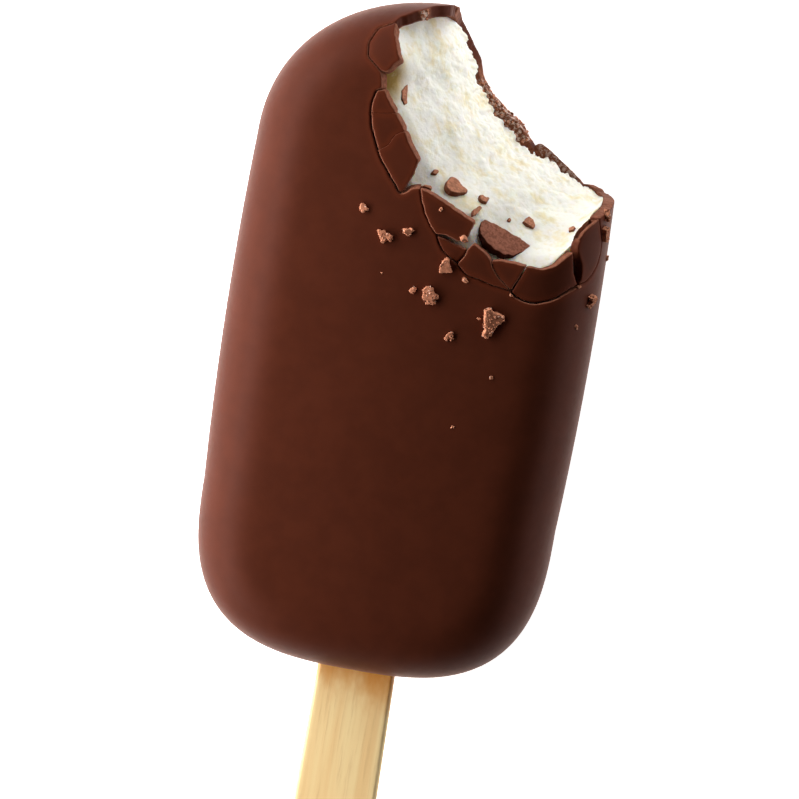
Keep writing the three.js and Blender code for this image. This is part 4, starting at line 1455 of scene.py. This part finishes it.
def perched(surface, spot, lean):
    """A place on the surface, and the directions of a leaning crumb there: about +X, about +Y, and out."""
    if len(spot) == 2:
        place, normal, _, _ = surface.ray_cast(Vector((*spot, ABOVE_ALL)), Vector((0, 0, -1)))
    else:
        place, normal, _, _ = surface.find_nearest(Vector(spot))
    out = (normal + Vector((*lean, 0))).normalized()
    side = (Vector((1, 0, 0)) - out * out.x).normalized()
    return [np.array(part) for part in (place, side, out.cross(side), out)]


def crumb_bodies(surface):
    leans = np.random.default_rng(CRUMB_LEAN_SEED).uniform(-CRUMB_LEAN, CRUMB_LEAN, (len(CRUMBS), 2))
    bodies = []
    for number, ((spot, corners), lean) in enumerate(zip(CRUMBS, leans)):
        thickness = min(CRUMB_THICKEST, CRUMB_THICKNESS * np.ptp(corners, axis=0).max())
        directions = perched(surface, spot, lean)
        pared = np.array(corners) * PARED
        rise = CRUMB_RISE * thickness
        bodies.append(chip_mesh(directions, pared, rise, thickness, step=CRUMB_STEP, seed=number))
    return gathered(bodies)


CRUMB_FINISH = chocolate("crumb_chocolate", colour(92, 44, 28), colour(206, 138, 106), 0.5)
crumb_points, crumb_faces, crumb_torn = crumb_bodies(surface_of(coating, *plates))
crumb_broken = BODY_BROKEN + (1 - BODY_BROKEN) * crumb_torn
crumb_body = mesh_object("crumb_bodies", crumb_points, crumb_faces, crumb_broken)
crumbs = with_grains("crumbs_on_coating", crumb_body.data, CRUMB_FINISH, threshold=0.4, grain_size=0.25 * MM,
                     grains_per_square_metre=4.5e6, keep_body=True, seed=4)
bpy.data.objects.remove(crumb_body)
finish_piece(crumbs, "chocolate")

# %% Grains along the torn back
dust = with_grains("grains_on_back_rim", coating.data.copy(), CRUMB_FINISH, threshold=FROST_FROM,
                   grain_size=0.34 * MM, grains_per_square_metre=3.4e6, keep_body=False, seed=6)
finish_piece(dust, "chocolate")

# %% The stick's own mesh
BEVEL = 0.6
BEVEL_ROWS = 7
BEVEL_POWER = 0.8
FLAT_INSET = 0.4
STICK_PARE = 0.02


def stick():
    turn = np.linspace(0, math.pi / 2, BEVEL_ROWS)
    inset = BEVEL * (1 - np.sin(turn)) + STICK_PARE
    height = STICK_THICKNESS / 2 * np.cos(turn) ** BEVEL_POWER
    insets = np.concatenate([[BEVEL + FLAT_INSET], inset, inset[-2::-1], [BEVEL + FLAT_INSET]])
    heights = np.concatenate([[height[0]], height, -height[-2::-1], [-height[0]]])
    points, faces = stick_rows(stick_loop(), insets, MIDDLE + heights)
    return turned_outwards(mesh_object("birch_stick", points, faces))


def birch():
    """Pale wood with fine dark fibres, damp and amber where it leaves the bar."""
    material, shader, place = new_finish("birch", IOR=1.5, Specular_IOR_Level=0.3)
    long_grain = place.stretched(1, 0.05, 1)
    fibres = long_grain.noise(2.2 * PER_MM, 4, 0.6)
    bands = long_grain.noise(0.45 * PER_MM, 2, 0.5)
    pale = mixed(bands.ramp(0.35, 0.65), colour(253, 222, 162), colour(246, 206, 144))
    darker = pale.blend(fibres.ramp(0.5, 0.75) * 0.35, colour(205, 158, 105))
    across, along = (place.node("ShaderNodeSeparateXYZ", {}, axis, Vector=place) for axis in (0, 1))
    uneven = place.stretched(1, 0.5, 1).noise(0.35 * PER_MM, 3, 0.6)
    wet = (along * (PER_MM * 0.16) + across * (PER_MM * 0.04) + uneven * 1.3).ramp(-7.75, -6.6)
    feed(shader, Base_Color=darker.blend(wet * 0.9, colour(222, 142, 52)))
    feed(shader, Roughness=0.62 - wet * 0.2)
    feed(shader, Normal=bumped(fibres, 0.05, 0.6))
    return material


wooden_stick = stick()
wooden_stick.data.materials.append(birch())
finish_piece(wooden_stick, "wood", "stick")
